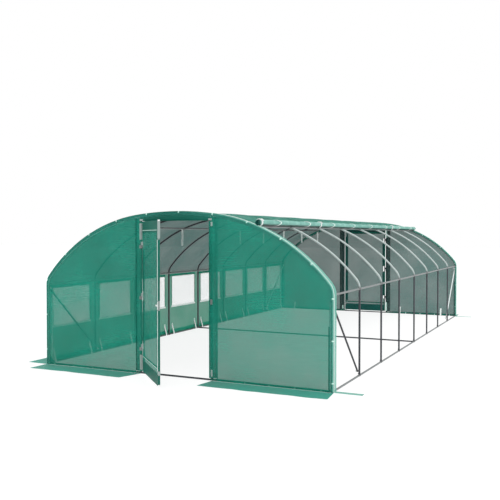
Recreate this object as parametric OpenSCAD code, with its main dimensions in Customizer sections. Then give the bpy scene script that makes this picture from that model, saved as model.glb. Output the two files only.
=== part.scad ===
/* [Tunnel] */
// Width across the outsides of the hoop legs
tunnel_w = 4000; // [3300:50:4800]
// Length between the centres of the two end hoops
tunnel_l = 8000; // [6500:100:9800]
// Height of the top of the hoops
tunnel_h = 2000; // [1950:10:2400]
// Number of bays along the tunnel
bays = 8; // [6:2:10]

/* [Hoops and rails] */
// Diameter of the hoop tubes and the door posts
hoop_d = 25; // [20:1:30]
// Diameter of the rails, braces and ground bars
rail_d = 22; // [16:1:25]
// Height at which a leg starts to bend over
eave_h = 1064; // [880:1:1100]
// Radius of the bend at the eaves
elbow_r = 179; // [140:1:220]
// Radius of the flat crown of a hoop
crown_r = 4300; // [3600:50:5200]
// Half angle of the flat crown
crown_angle = 7.2; // [5:0.1:9]
// Distance of the purlins from the middle
purlin_x = 1080; // [900:10:1300]
// Height of a corner brace's top below the bend
brace_drop = 45; // [20:5:90]
// Height of a corner brace's foot
brace_foot = 60; // [40:5:100]

/* [Cover] */
// Thickness of the cover, skirts and door sheets
cover_t = 3; // [2:0.5:4]
// Width of the skirt that lies on the ground
skirt_w = 316; // [250:1:400]
// Length of the side cover left on the right end hoops
strip_l = 80; // [60:5:120]
// Diameter of the rolled-up side cover
roll_d = 74; // [60:1:90]

/* [Windows] */
// Width of a mesh window
window_w = 760; // [600:10:780]
// Height of a mesh window
window_h = 510; // [400:10:540]
// Distance of the windows below the bend at the eaves
window_drop = 64; // [50:2:90]
// Thickness of the window mesh
mesh_t = 1; // [0.8:0.2:1.6]
// Diameter of a rolled-up window flap
flap_d = 40; // [30:1:50]
// Length of a rolled-up flap beyond its window at each end
flap_over = 25; // [10:5:40]

/* [Doors] */
// Distance of the door posts from the middle
post_x = 500; // [420:5:580]
// Height of the header tube's centre
header_z = 1900; // [1880:5:1920]
// Space between the hinge post and the door
hinge_gap = 18; // [16:1:24]
// Space between the latch post and the door
latch_gap = 40; // [30:1:60]
// Space between the header and the top of the door
top_gap = 9; // [6:1:14]
// Height of the bottom of the doors
leaf_z = 41; // [34:1:60]
// Height of the lower cross rail of a door
low_rail_z = 220; // [180:5:280]
// Distance of the upper cross rail below the top of a door
top_rail_drop = 105; // [80:5:140]
// Diameter of a door's cross rails
leaf_rail_d = 18; // [14:1:20]
// Angle at which the front door stands open
open_angle = 45; // [0:5:90]
// Height of a latch
latch_z = 930; // [850:10:1000]

/* [Hinges and straps] */
// Diameter of a hinge barrel
barrel_d = 14; // [12:1:16]
// Height of a hinge
hinge_h = 80; // [60:5:100]
// Height of the lowest hinge's middle
low_hinge_z = 330; // [300:10:400]
// Thickness of the hinge plates
plate_t = 4; // [3:0.5:5]
// Width of the webbing straps
strap_w = 22; // [18:1:28]
// Thickness of the webbing straps
strap_t = 2; // [1.5:0.5:2.5]
// Length of the straps that hang from the hoops beside the left purlin
hang_l = 230; // [150:10:300]
// Distance of the hanging straps outside the left purlin
hang_side = 35; // [25:1:60]
// Height at which the wall straps are sewn on
wall_strap_z = 147; // [120:1:180]
// Distance of a wall strap from its hoop
wall_strap_y = 120; // [90:5:200]

/* [Hidden] */
hoop_r = hoop_d / 2;
rail_r = rail_d / 2;
roll_r = roll_d / 2;
barrel_r = barrel_d / 2;
// Clearance between a piece and the piece that carries it
seat = 0.3;
bay_l = tunnel_l / bays;
hoop_colour = "#b4b9b8";
cover_colour = "#2f8a70";
skirt_colour = "#68ae98";
strap_colour = "#eef1ee";

// Centre line of half a hoop in the XZ plane: flat crown, side arc, elbow and leg, all tangent
leg_x = tunnel_w / 2 - hoop_r;
crown_way = [sin(crown_angle), cos(crown_angle)];
crown_c = [0, tunnel_h - hoop_r - crown_r];
crown_end = crown_c + crown_r * crown_way;
elbow_c = [leg_x - elbow_r, eave_h];
to_elbow = elbow_c - crown_end;
side_r = (elbow_r ^ 2 - to_elbow * to_elbow) / (2 * (to_elbow * crown_way + elbow_r));
side_c = crown_end - side_r * crown_way;
side_angle = atan2(elbow_c.x - side_c.x, elbow_c.y - side_c.y);
purlin_angle = asin((purlin_x - side_c.x) / side_r);
purlin_z = side_c.y + side_r * cos(purlin_angle);

// Height of the window sills
window_z = eave_h - window_drop - window_h;

// Distances from the tubes' centre lines to the inside and the outside of the cover
cover_in = hoop_r + seat;
cover_out = cover_in + cover_t;
wall_in = leg_x + cover_in;
wall_out = leg_x + cover_out;
end_out = cover_out;

// The roll sits on the hoops outside the right purlin, and the sheets stop beside it
roll_offset = side_r + hoop_r + seat + roll_r;
roll_half = sqrt(2 * roll_r * cover_t) + seat;
roll_angle = asin(roll_half / (side_r + cover_in));

// Door leaf, drawn closed in the front doorway
leaf_left = -post_x + hoop_r + hinge_gap;
leaf_right = post_x - hoop_r - latch_gap;
leaf_top = header_z - rail_r - top_gap;
leaf_out = rail_r + seat + cover_t;
hinge_x = -post_x + hoop_r + hinge_gap / 2;
hinge_y = -end_out - seat - barrel_r;
high_hinge_z = leaf_top - low_hinge_z + leaf_z;
hinge_heights = [low_hinge_z, (low_hinge_z + high_hinge_z) / 2, high_hinge_z];
sheet_inset = 6;
door_reach = (leaf_right - hinge_x) * sin(open_angle) - hinge_y;

// The origin is the middle of the base of the box around the whole tunnel
mid_y = (tunnel_l + end_out + skirt_w - door_reach) / 2;

// Puts the children in the object's own frame, with their colour
module placed(colour)
    color(colour)
        translate([0, -mid_y, 0])
            children();

// Turns the children half round the tunnel's middle, from its front to its rear
module turned()
    translate([0, tunnel_l, 0])
        rotate([0, 0, 180])
            children();

module both_sides() {
    children();
    mirror([1, 0, 0])
        children();
}

// Sweeps a flat shape round an arc in the XZ plane; angles are from the vertical
module sweep(centre, from, to)
    translate([centre.x, 0, centre.y])
        rotate([90, 0, 0])
            rotate([0, 0, 90 - to])
                rotate_extrude(angle = to - from, $fn = 256)
                    children();

// One length of hoop tube, ending half a joint's clearance short at each end
module bent_tube(centre, radius, from, to) {
    trim = asin(seat / 2 / radius);
    sweep(centre, from + trim, to - trim)
        translate([radius, 0])
            circle(d = hoop_d, $fn = 48);
}

module hoop(number)
    placed(hoop_colour)
        translate([0, number * bay_l, 0]) {
            both_sides() {
                translate([leg_x, 0, 0])
                    cylinder(h = eave_h, d = hoop_d, $fn = 48);
                sweep(elbow_c, side_angle, 90)
                    translate([elbow_r, 0])
                        circle(d = hoop_d, $fn = 48);
                bent_tube(side_c, side_r, purlin_angle, side_angle - asin(seat / side_r));
                bent_tube(side_c, side_r, crown_angle, purlin_angle);
            }
            bent_tube(crown_c, crown_r, -crown_angle, crown_angle);
        }

// A row of tubes along the tunnel, one between each two hoops
module rail(x, z)
    placed(hoop_colour)
        for (bay = [0 : bays - 1])
            translate([x, bay * bay_l + hoop_r + seat, z])
                rotate([-90, 0, 0])
                    cylinder(h = bay_l - hoop_d - 2 * seat, d = rail_d, $fn = 48);

// A tube across the tunnel, centred on the middle
module cross_tube(length, y, z)
    translate([-length / 2, y, z])
        rotate([0, 90, 0])
            cylinder(h = length, d = rail_d, $fn = 48);

module ground_bars()
    placed(hoop_colour)
        for (place = [0, 0.5, 1])
            cross_tube(2 * (leg_x - hoop_r - seat), place * tunnel_l, rail_r);

// Brace inside the legs, from under the bend of an end hoop to the foot of the next
module brace() {
    rise = eave_h - brace_drop - brace_foot;
    length = norm([bay_l, rise]);
    translate([leg_x - hoop_r - seat - rail_r, bay_l, brace_foot])
        rotate([atan2(bay_l, rise), 0, 0])
            cylinder(h = length, d = rail_d, $fn = 48);
}

module corner_braces()
    placed(hoop_colour)
        both_sides() {
            brace();
            translate([0, tunnel_l, 0])
                mirror([0, 1, 0])
                    brace();
        }

// Two posts from the ground bar to the crown, with a header between them
module doorway() {
    reach = crown_r - hoop_r - seat;
    post_top = crown_c.y + sqrt(reach ^ 2 - (post_x + hoop_r) ^ 2);
    post_foot = rail_d + seat;
    both_sides()
        translate([post_x, 0, post_foot])
            cylinder(h = post_top - post_foot, d = hoop_d, $fn = 48);
    cross_tube(2 * (post_x - hoop_r - seat), 0, header_z);
}

module front_doorway()
    placed(hoop_colour)
        doorway();

module rear_doorway()
    placed(hoop_colour)
        turned()
            doorway();

// A panel of cover round an arc, between two places along the tunnel, with a seam's clearance at its edges
module bent_sheet(centre, radius, from, to, start, end) {
    trim = asin(seat / 2 / radius);
    sweep(centre, from + trim, to - trim)
        translate([radius + cover_in, -end])
            square([cover_t, end - start]);
}

module roof_cover()
    placed(cover_colour) {
        start = -cover_in;
        end = tunnel_l + cover_in;
        mirror([1, 0, 0]) {
            bent_sheet(elbow_c, elbow_r, side_angle, 90, start, end);
            bent_sheet(side_c, side_r, purlin_angle, side_angle, start, end);
            bent_sheet(side_c, side_r, crown_angle, purlin_angle, start, end);
        }
        bent_sheet(crown_c, crown_r, -crown_angle, crown_angle, start, end);
        bent_sheet(side_c, side_r, crown_angle, purlin_angle - roll_angle, start, end);
    }

// Runs the children once in the middle of each bay
module each_bay()
    for (bay = [0 : bays - 1])
        translate([0, (bay + 0.5) * bay_l, 0])
            children();

module left_wall()
    placed(cover_colour)
        difference() {
            translate([-wall_out, -cover_in, 0])
                cube([cover_t, tunnel_l + 2 * cover_in, eave_h]);
            each_bay()
                translate([-wall_out - 1, -window_w / 2, window_z])
                    cube([cover_t + 2, window_w, window_h]);
        }

module window_mesh()
    placed(skirt_colour)
        each_bay()
            translate([-wall_in - (cover_t + mesh_t) / 2, -window_w / 2 + seat, window_z + seat])
                cube([mesh_t, window_w - 2 * seat, window_h - 2 * seat]);

// Window flaps, rolled up and tied above the windows on the outside
module window_flaps()
    placed(cover_colour)
        each_bay()
            translate([-wall_out - seat - flap_d / 2, -window_w / 2 - flap_over, window_z + window_h + flap_d / 2])
                rotate([-90, 0, 0])
                    cylinder(h = window_w + 2 * flap_over, d = flap_d, $fn = 48);

module roll_axis()
    translate([side_c.x + roll_offset * sin(purlin_angle), 0, side_c.y + roll_offset * cos(purlin_angle)])
        children();

module side_roll()
    placed(cover_colour)
        roll_axis()
            translate([0, -cover_in, 0])
                rotate([-90, 0, 0])
                    cylinder(h = tunnel_l + 2 * cover_in, d = roll_d, $fn = 72);

// Straps round the roll, open where it lies against the purlin
module roll_ties() {
    gap_half = 40;
    placed(strap_colour)
        roll_axis()
            each_bay()
                sweep([0, 0], purlin_angle - 180 + gap_half, purlin_angle + 180 - gap_half)
                    translate([roll_r + seat, -strap_w / 2])
                        square([strap_t, strap_w]);
}

// Side cover left on a right end hoop, from the roll down to its own piece of skirt
module corner_strip() {
    start = -cover_in;
    end = strip_l;
    bent_sheet(side_c, side_r, purlin_angle + roll_angle, side_angle, start, end);
    bent_sheet(elbow_c, elbow_r, side_angle, 90, start, end);
    translate([wall_in, start, 0])
        cube([cover_t, end - start, eave_h]);
    translate([wall_out + seat, start, 0])
        cube([skirt_w - seat, end - start, cover_t]);
}

module corner_strips()
    placed(cover_colour) {
        corner_strip();
        translate([0, tunnel_l, 0])
            mirror([0, 1, 0])
                corner_strip();
    }

function arc_points(centre, radius, from, to, steps) = [
    for (step = [0 : steps])
        let (angle = from + (to - from) * step / steps)
            centre + radius * [sin(angle), cos(angle)]
];

// Right half of the outline of the end walls, from the crown down to the ground
half_outline = concat(
    arc_points(crown_c, crown_r + cover_out, 0, crown_angle, 4),
    arc_points(side_c, side_r + cover_out, crown_angle + 3, side_angle, 16),
    arc_points(elbow_c, elbow_r + cover_out, side_angle + 5, 90, 8),
    [[wall_out, 0]]
);

module half_wall_outline()
    polygon(concat(half_outline, [[0, 0]]));

// End wall sheet on the outside of an end hoop: a panel each side of the doorway and one above it
module end_wall() {
    door_half = post_x - hoop_r;
    door_top = header_z - rail_r;
    translate([0, -cover_in, 0])
        rotate([90, 0, 0])
            linear_extrude(cover_t) {
                both_sides()
                    intersection() {
                        half_wall_outline();
                        translate([door_half, 0])
                            square([tunnel_w, tunnel_h * 2]);
                    }
                intersection() {
                    both_sides()
                        half_wall_outline();
                    translate([-door_half + seat, door_top])
                        square([2 * (door_half - seat), tunnel_h]);
                }
            }
}

module front_wall()
    placed(cover_colour)
        end_wall();

module rear_wall()
    placed(cover_colour)
        turned()
            end_wall();

module left_skirt()
    placed(skirt_colour)
        translate([-wall_out - skirt_w, -cover_in, 0])
            cube([skirt_w, tunnel_l + 2 * cover_in, cover_t]);

module end_skirts()
    both_sides()
        translate([post_x, -end_out - skirt_w, 0])
            cube([wall_out - post_x, skirt_w, cover_t]);

module front_skirts()
    placed(skirt_colour)
        end_skirts();

module rear_skirts()
    placed(skirt_colour)
        turned()
            end_skirts();

// A strap under every hoop but the front one, its top just clear of the tube's underside
module hanging_straps() {
    x = purlin_x + hang_side + strap_w / 2;
    top = side_c.y + sqrt((side_r - hoop_r - seat) ^ 2 - (x - side_c.x) ^ 2);
    placed(strap_colour)
        for (number = [1 : bays])
            translate([-x, number * bay_l - strap_t / 2, top - hang_l])
                cube([strap_w, strap_t, hang_l]);
}

// Straps sewn to the left wall beside each leg and drawn down past the base rail
module wall_straps() {
    top = [-wall_in + seat + strap_t, wall_strap_z];
    rail_centre = [-leg_x, rail_r];
    span = norm(top - rail_centre);
    lean = asin((rail_r + seat + strap_t / 2) / span) - atan2(rail_centre.x - top.x, top.y - rail_centre.y);
    placed(strap_colour)
        for (bay = [0 : bays - 1], y = [wall_strap_y, bay_l - wall_strap_y])
            translate([top.x, bay * bay_l + y - strap_w / 2, top.y])
                rotate([0, -lean - 2 * atan2(rail_centre.x - top.x, top.y - rail_centre.y), 0])
                    translate([-strap_t / 2, 0, -span])
                        cube([strap_t, strap_w, span]);
}

// Stands the children in the place of each hinge's middle
module each_hinge()
    for (z = hinge_heights)
        translate([hinge_x, hinge_y, z])
            children();

// Lower half of each hinge, on the post, and the keeper for the latch
module hinge_posts() {
    plate_l = hinge_gap / 2 + hoop_d;
    each_hinge() {
        translate([0, 0, -hinge_h / 2])
            cylinder(h = hinge_h / 2 - seat, r = barrel_r, $fn = 48);
        translate([-plate_l, barrel_r - plate_t, -hinge_h / 2])
            cube([plate_l, plate_t, hinge_h / 2 - seat]);
    }
    translate([post_x - hoop_r, -end_out - seat - 2 * plate_t, latch_z - 30])
        cube([hoop_d, 2 * plate_t, 60]);
}

module front_hinge_posts()
    placed("#9aa09e")
        hinge_posts();

module rear_hinge_posts()
    placed("#9aa09e")
        turned()
            hinge_posts();

// Two stiles with cross rails let into them, and the upper half of each hinge
module leaf_frame() {
    stile_left = leaf_left + rail_r;
    stile_right = leaf_right - rail_r;
    for (x = [stile_left, stile_right])
        translate([x, 0, leaf_z])
            cylinder(h = leaf_top - leaf_z, d = rail_d, $fn = 48);
    for (z = [low_rail_z, leaf_top - top_rail_drop])
        translate([stile_left, 0, z])
            rotate([0, 90, 0])
                cylinder(h = stile_right - stile_left, d = leaf_rail_d, $fn = 48);
    each_hinge() {
        cylinder(h = hinge_h / 2, r = barrel_r, $fn = 48);
        translate([0, -plate_t / 2, 0])
            cube([stile_left - hinge_x, plate_t, hinge_h / 2]);
        translate([stile_left - hinge_x - plate_t / 2, -plate_t / 2, 0])
            cube([plate_t, -hinge_y, hinge_h / 2]);
    }
}

module leaf_sheet()
    difference() {
        translate([leaf_left + sheet_inset, -leaf_out, leaf_z])
            cube([leaf_right - leaf_left - sheet_inset, cover_t, leaf_top - leaf_z]);
        each_hinge()
            translate([0, -plate_t, -seat])
                cube([leaf_left + rail_r - hinge_x + plate_t / 2 + seat, -hinge_y, hinge_h / 2 + 2 * seat]);
    }

// Latch plate and turning handle on the free stile
module leaf_latch()
    translate([leaf_right - rail_r, -leaf_out - seat, latch_z]) {
        translate([-rail_r, -plate_t, -45])
            cube([rail_d, plate_t, 90]);
        translate([-60, -3 * plate_t, -8])
            cube([75, 2 * plate_t, 16]);
    }

// Turns the closed leaf about its hinges
module swung(angle)
    translate([hinge_x, hinge_y, 0])
        rotate([0, 0, -angle])
            translate([-hinge_x, -hinge_y, 0])
                children();

module front_door_frame()
    placed(hoop_colour)
        swung(open_angle)
            leaf_frame();

module front_door_sheet()
    placed(cover_colour)
        swung(open_angle)
            leaf_sheet();

module front_door_latch()
    placed(strap_colour)
        swung(open_angle)
            leaf_latch();

module rear_door_frame()
    placed(hoop_colour)
        turned()
            leaf_frame();

module rear_door_sheet()
    placed(cover_colour)
        turned()
            leaf_sheet();

module rear_door_latch()
    placed(strap_colour)
        turned()
            leaf_latch();

hoop(0);  // front_hoop
hoop(1);  // hoop_1
hoop(2);  // hoop_2
hoop(3);  // hoop_3
hoop(4);  // hoop_4
hoop(5);  // hoop_5
hoop(6);  // hoop_6
hoop(7);  // hoop_7
hoop(bays);  // rear_hoop
rail(0, crown_c.y + crown_r);  // ridge_tube
rail(-purlin_x, purlin_z);  // left_purlin
rail(purlin_x, purlin_z);  // right_purlin
rail(-leg_x, eave_h);  // left_eave_rail
rail(leg_x, eave_h);  // right_eave_rail
rail(-leg_x, rail_r);  // left_base_rail
rail(leg_x, rail_r);  // right_base_rail
ground_bars();
corner_braces();
front_doorway();
rear_doorway();
roof_cover();
left_wall();
window_mesh();
window_flaps();
side_roll();
roll_ties();
corner_strips();
front_wall();
rear_wall();
left_skirt();
front_skirts();
rear_skirts();
hanging_straps();
wall_straps();
front_hinge_posts();
rear_hinge_posts();
front_door_frame();
front_door_sheet();
front_door_latch();
rear_door_frame();
rear_door_sheet();
rear_door_latch();
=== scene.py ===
"""Looks of a walk-in polytunnel greenhouse: hoops, woven cover, rolled-up side, windows and doors."""

import logging
import math
from contextlib import contextmanager
from dataclasses import dataclass, field
from enum import Enum
from typing import Callable, Iterator, Sequence

import bmesh
import bpy
from mathutils import Matrix, Vector, noise


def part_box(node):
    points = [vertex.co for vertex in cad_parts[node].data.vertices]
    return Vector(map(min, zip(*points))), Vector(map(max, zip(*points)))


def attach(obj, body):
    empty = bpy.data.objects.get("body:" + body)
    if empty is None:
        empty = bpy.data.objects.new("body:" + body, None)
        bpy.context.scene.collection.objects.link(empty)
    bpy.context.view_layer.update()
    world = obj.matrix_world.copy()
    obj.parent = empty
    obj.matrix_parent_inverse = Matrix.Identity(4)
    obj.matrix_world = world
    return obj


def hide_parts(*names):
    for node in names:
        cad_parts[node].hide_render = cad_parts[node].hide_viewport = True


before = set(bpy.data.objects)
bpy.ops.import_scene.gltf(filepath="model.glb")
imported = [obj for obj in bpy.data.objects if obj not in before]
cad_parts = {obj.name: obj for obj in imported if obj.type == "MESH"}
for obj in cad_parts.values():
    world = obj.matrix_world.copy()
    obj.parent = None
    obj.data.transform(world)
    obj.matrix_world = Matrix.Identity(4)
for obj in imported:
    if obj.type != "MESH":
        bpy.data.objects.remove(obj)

LOG = logging.getLogger("polytunnel")
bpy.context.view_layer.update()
WEAVE_MAP = "weave"
TUNNEL = "tunnel"
CLOTH_T = 0.0012
SKIRT_W = 0.314


# ---------------------------------------------------------------- modelling helpers


def clear_selection() -> None:
    """Leaves object mode with nothing selected."""
    if bpy.context.mode != "OBJECT":
        bpy.ops.object.mode_set(mode="OBJECT")
    bpy.ops.object.select_all(action="DESELECT")


def pick(obj: bpy.types.Object) -> bpy.types.Object:
    """Makes one object the only selected and active one.

    Args:
        obj: the object to pick.

    Returns:
        The same object.
    """
    clear_selection()
    obj.select_set(True)
    bpy.context.view_layer.objects.active = obj
    return obj


@contextmanager
def editing(obj: bpy.types.Object, wanted: Callable[[Vector, Vector], bool]) -> Iterator[None]:
    """Opens edit mode with only the faces that a test picks selected.

    Args:
        obj: the object to edit.
        wanted: takes a face's normal and centre, and says whether it is selected.
    """
    pick(obj)
    bpy.ops.object.mode_set(mode="EDIT")
    bpy.ops.mesh.select_mode(type="FACE")
    bpy.ops.mesh.select_all(action="DESELECT")
    bpy.ops.object.mode_set(mode="OBJECT")
    for face in obj.data.polygons:
        face.select = wanted(face.normal, face.center)
    bpy.ops.object.mode_set(mode="EDIT")
    yield
    bpy.ops.object.mode_set(mode="OBJECT")


def apply_modifier(obj: bpy.types.Object, kind: str, **settings: object) -> None:
    """Adds a modifier, sets it and applies it.

    Args:
        obj: the object to change.
        kind: the modifier's type, such as "BEVEL".
        settings: the modifier's values.
    """
    pick(obj)
    modifier = obj.modifiers.new(kind.lower(), kind)
    for name, value in settings.items():
        setattr(modifier, name, value)
    bpy.ops.object.modifier_apply(modifier=modifier.name)


def smooth(obj: bpy.types.Object, degrees: float = 40.0) -> bpy.types.Object:
    """Shades an object smooth, with edges sharper than an angle left crisp.

    Args:
        obj: the object to shade.
        degrees: the sharpest angle that is smoothed.

    Returns:
        The same object.
    """
    pick(obj)
    bpy.ops.object.shade_smooth_by_angle(angle=math.radians(degrees))
    return obj


def settle(obj: bpy.types.Object) -> bpy.types.Object:
    """Puts an object's place into its mesh, so that the object sits at the origin."""
    pick(obj)
    bpy.ops.object.transform_apply(location=True, rotation=True, scale=True)
    return obj


def scatter(pattern: bpy.types.Object, places: Sequence[Matrix], name: str) -> bpy.types.Object:
    """Copies a piece to many places, each copy with its own mesh, and joins the copies.

    Args:
        pattern: the piece, modelled about the origin. It is removed.
        places: where each copy goes.
        name: the joined piece's name.

    Returns:
        The joined piece.
    """
    copies = []
    for place in places:
        copy = pattern.copy()
        copy.data = pattern.data.copy()
        copy.data.transform(place)
        bpy.context.scene.collection.objects.link(copy)
        copies.append(copy)
    clear_selection()
    for copy in copies:
        copy.select_set(True)
    bpy.context.view_layer.objects.active = copies[0]
    if len(copies) > 1:
        bpy.ops.object.join()
    bpy.data.objects.remove(pattern)
    copies[0].name = name
    return copies[0]


def cloth_mesh(
    name: str,
    grids: Sequence[Sequence[Sequence[Vector]]],
    thickness: float,
    skip: Callable[[int, int], bool] | None = None,
    plane: tuple[int, int] | None = None,
) -> bpy.types.Object:
    """Makes thin closed cloth from grids of points, with a UV map that measures along the cloth in metres.

    Args:
        name: the piece's name.
        grids: rows of points, one grid for each separate sheet. The normal is along-row cross between-rows.
        thickness: how thick the cloth is; it grows backwards from the points.
        skip: says whether the cell at (row, column) is left open.
        plane: the two axes that a flat sheet is measured along, in place of its rows.

    Returns:
        The new piece.
    """
    shape = bmesh.new()
    weave = shape.loops.layers.uv.new(WEAVE_MAP)
    for rows in grids:
        made = [[shape.verts.new(point) for point in row] for row in rows]
        along = _running(rows[len(rows) // 2])
        across = _running([row[len(row) // 2] for row in rows])
        for i in range(len(rows) - 1):
            for j in range(len(rows[0]) - 1):
                if skip and skip(i, j):
                    continue
                corners = [(i, j), (i, j + 1), (i + 1, j + 1), (i + 1, j)]
                face = shape.faces.new([made[a][b] for a, b in corners])
                for loop, (a, b) in zip(face.loops, corners):
                    point = rows[a][b]
                    loop[weave].uv = (point[plane[0]], point[plane[1]]) if plane else (along[b], across[a])
    bmesh.ops.remove_doubles(shape, verts=shape.verts, dist=0.00001)
    bmesh.ops.delete(shape, geom=[v for v in shape.verts if not v.link_faces], context="VERTS")
    mesh = bpy.data.meshes.new(name)
    shape.to_mesh(mesh)
    shape.free()
    piece = bpy.data.objects.new(name, mesh)
    bpy.context.scene.collection.objects.link(piece)
    for _ in range(2):
        mesh.materials.append(None)
    apply_modifier(piece, "SOLIDIFY", thickness=thickness, offset=-1.0, material_offset=1)
    return smooth(piece, 60.0)


def _running(points: Sequence[Vector]) -> list[float]:
    """The distance from the first of some points to each of them, along the line through them."""
    found = [0.0]
    for before, after in zip(points, points[1:]):
        found.append(found[-1] + (after - before).length)
    return found


def ripple(x: float, y: float, seed: float) -> float:
    """Smooth noise from -1 to 1 for the folds of cloth.

    Args:
        x: place along the cloth.
        y: place across the cloth.
        seed: tells one cloth from another.

    Returns:
        The height of the fold.
    """
    return noise.noise(Vector((x, y, seed)))


def steps(start: float, end: float, pitch: float) -> list[float]:
    """Evenly spaced values from start to end, about a pitch apart."""
    count = max(1, round(abs(end - start) / pitch))
    return [start + (end - start) * i / count for i in range(count + 1)]


def between(places: Sequence[float], pitch: float) -> list[float]:
    """Values that pass through all the given places, about a pitch apart."""
    found = [places[0]]
    for start, end in zip(places, places[1:]):
        found += steps(start, end, pitch)[1:]
    return found


# ---------------------------------------------------------------- finishes


class Nodes:
    """Builds one material's node tree, a node at a time."""

    def __init__(self, name: str) -> None:
        """Starts a material with a Principled shader.

        Args:
            name: the material's name.
        """
        self.material = bpy.data.materials.new(name)
        self.material.use_nodes = True
        self.tree = self.material.node_tree
        self.shader = self.tree.nodes["Principled BSDF"]

    def add(
        self, kind: str, inputs: dict[str | int, object] | None = None, **settings: object
    ) -> bpy.types.Node:
        """Adds a node.

        Args:
            kind: the node's type.
            inputs: a value or another node's socket for each input.
            settings: the node's own values.

        Returns:
            The new node.
        """
        node = self.tree.nodes.new(kind)
        for name, value in settings.items():
            setattr(node, name, value)
        for name, value in (inputs or {}).items():
            self.feed(node.inputs[name], value)
        return node

    def feed(self, socket: bpy.types.NodeSocket, value: object) -> None:
        """Links a socket to another, or sets its value."""
        if isinstance(value, bpy.types.NodeSocket):
            self.tree.links.new(value, socket)
        else:
            socket.default_value = value

    def calc(self, operation: str, a: object, b: object = 0.0) -> bpy.types.NodeSocket:
        """A Math node's result.

        Args:
            operation: the node's operation.
            a: the first value or socket.
            b: the second value or socket.

        Returns:
            The result's socket.
        """
        return self.add("ShaderNodeMath", {0: a, 1: b}, operation=operation).outputs[0]

    def noise(self, place: bpy.types.NodeSocket, scale: float, detail: float = 2.0) -> bpy.types.NodeSocket:
        """Noise from 0 to 1.

        Args:
            place: the coordinates.
            scale: how many lumps there are in a metre.
            detail: how many finer layers it has.

        Returns:
            The noise's socket.
        """
        node = self.add("ShaderNodeTexNoise", {"Vector": place, "Scale": scale, "Detail": detail})
        return node.outputs["Fac"]

    def times(self, a: object, b: object) -> bpy.types.NodeSocket:
        """The product of two values."""
        return self.calc("MULTIPLY", a, b)

    def plus(self, a: object, b: object) -> bpy.types.NodeSocket:
        """The sum of two values."""
        return self.calc("ADD", a, b)

    def ramp(
        self, value: bpy.types.NodeSocket, start: float, end: float, low: float = 0.0, high: float = 1.0
    ) -> bpy.types.NodeSocket:
        """Maps a value that goes from start to end onto low to high.

        Args:
            value: the value's socket.
            start: where it starts.
            end: where it ends.
            low: the result at the start.
            high: the result at the end.

        Returns:
            The result's socket.
        """
        inputs = {"Value": value, "From Min": start, "From Max": end, "To Min": low, "To Max": high}
        return self.add("ShaderNodeMapRange", inputs).outputs[0]

    def spread(self, value: bpy.types.NodeSocket, low: float, high: float) -> bpy.types.NodeSocket:
        """Maps the middle of a noise's range onto low to high."""
        return self.ramp(value, 0.3, 0.7, low, high)

    def place(self) -> bpy.types.NodeSocket:
        """The object coordinates."""
        return self.add("ShaderNodeTexCoord").outputs["Object"]

    def weave(self) -> bpy.types.NodeSocket:
        """The cloth's own coordinates, in metres along it."""
        return self.add("ShaderNodeUVMap", uv_map=WEAVE_MAP).outputs[0]

    def blend(self, share: object, a: Sequence[float], b: Sequence[float]) -> bpy.types.NodeSocket:
        """A colour between two colours.

        Args:
            share: how much of the second colour there is.
            a: the first colour, or a socket.
            b: the second colour, or a socket.

        Returns:
            The colour's socket.
        """
        node = self.add("ShaderNodeMix", data_type="RGBA")
        self.feed(node.inputs[0], share)
        self.feed(node.inputs[6], a if isinstance(a, bpy.types.NodeSocket) else (*a, 1.0))
        self.feed(node.inputs[7], b if isinstance(b, bpy.types.NodeSocket) else (*b, 1.0))
        return node.outputs[2]

    def bump(self, height: bpy.types.NodeSocket, strength: float, distance: float) -> None:
        """Feeds a bump to the shader's normal."""
        node = self.add("ShaderNodeBump", {"Height": height, "Strength": strength, "Distance": distance})
        self.feed(self.shader.inputs["Normal"], node.outputs[0])

    def dress(self, **inputs: object) -> bpy.types.Material:
        """Sets the shader's inputs, whose names have underscores for spaces, and returns the material."""
        for name, value in inputs.items():
            self.feed(self.shader.inputs[name.replace("_", " ")], value)
        return self.material


class Side(Enum):
    """The side of a sheet that a finish is for."""

    FACE = "face"
    BACK = "back"


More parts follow.
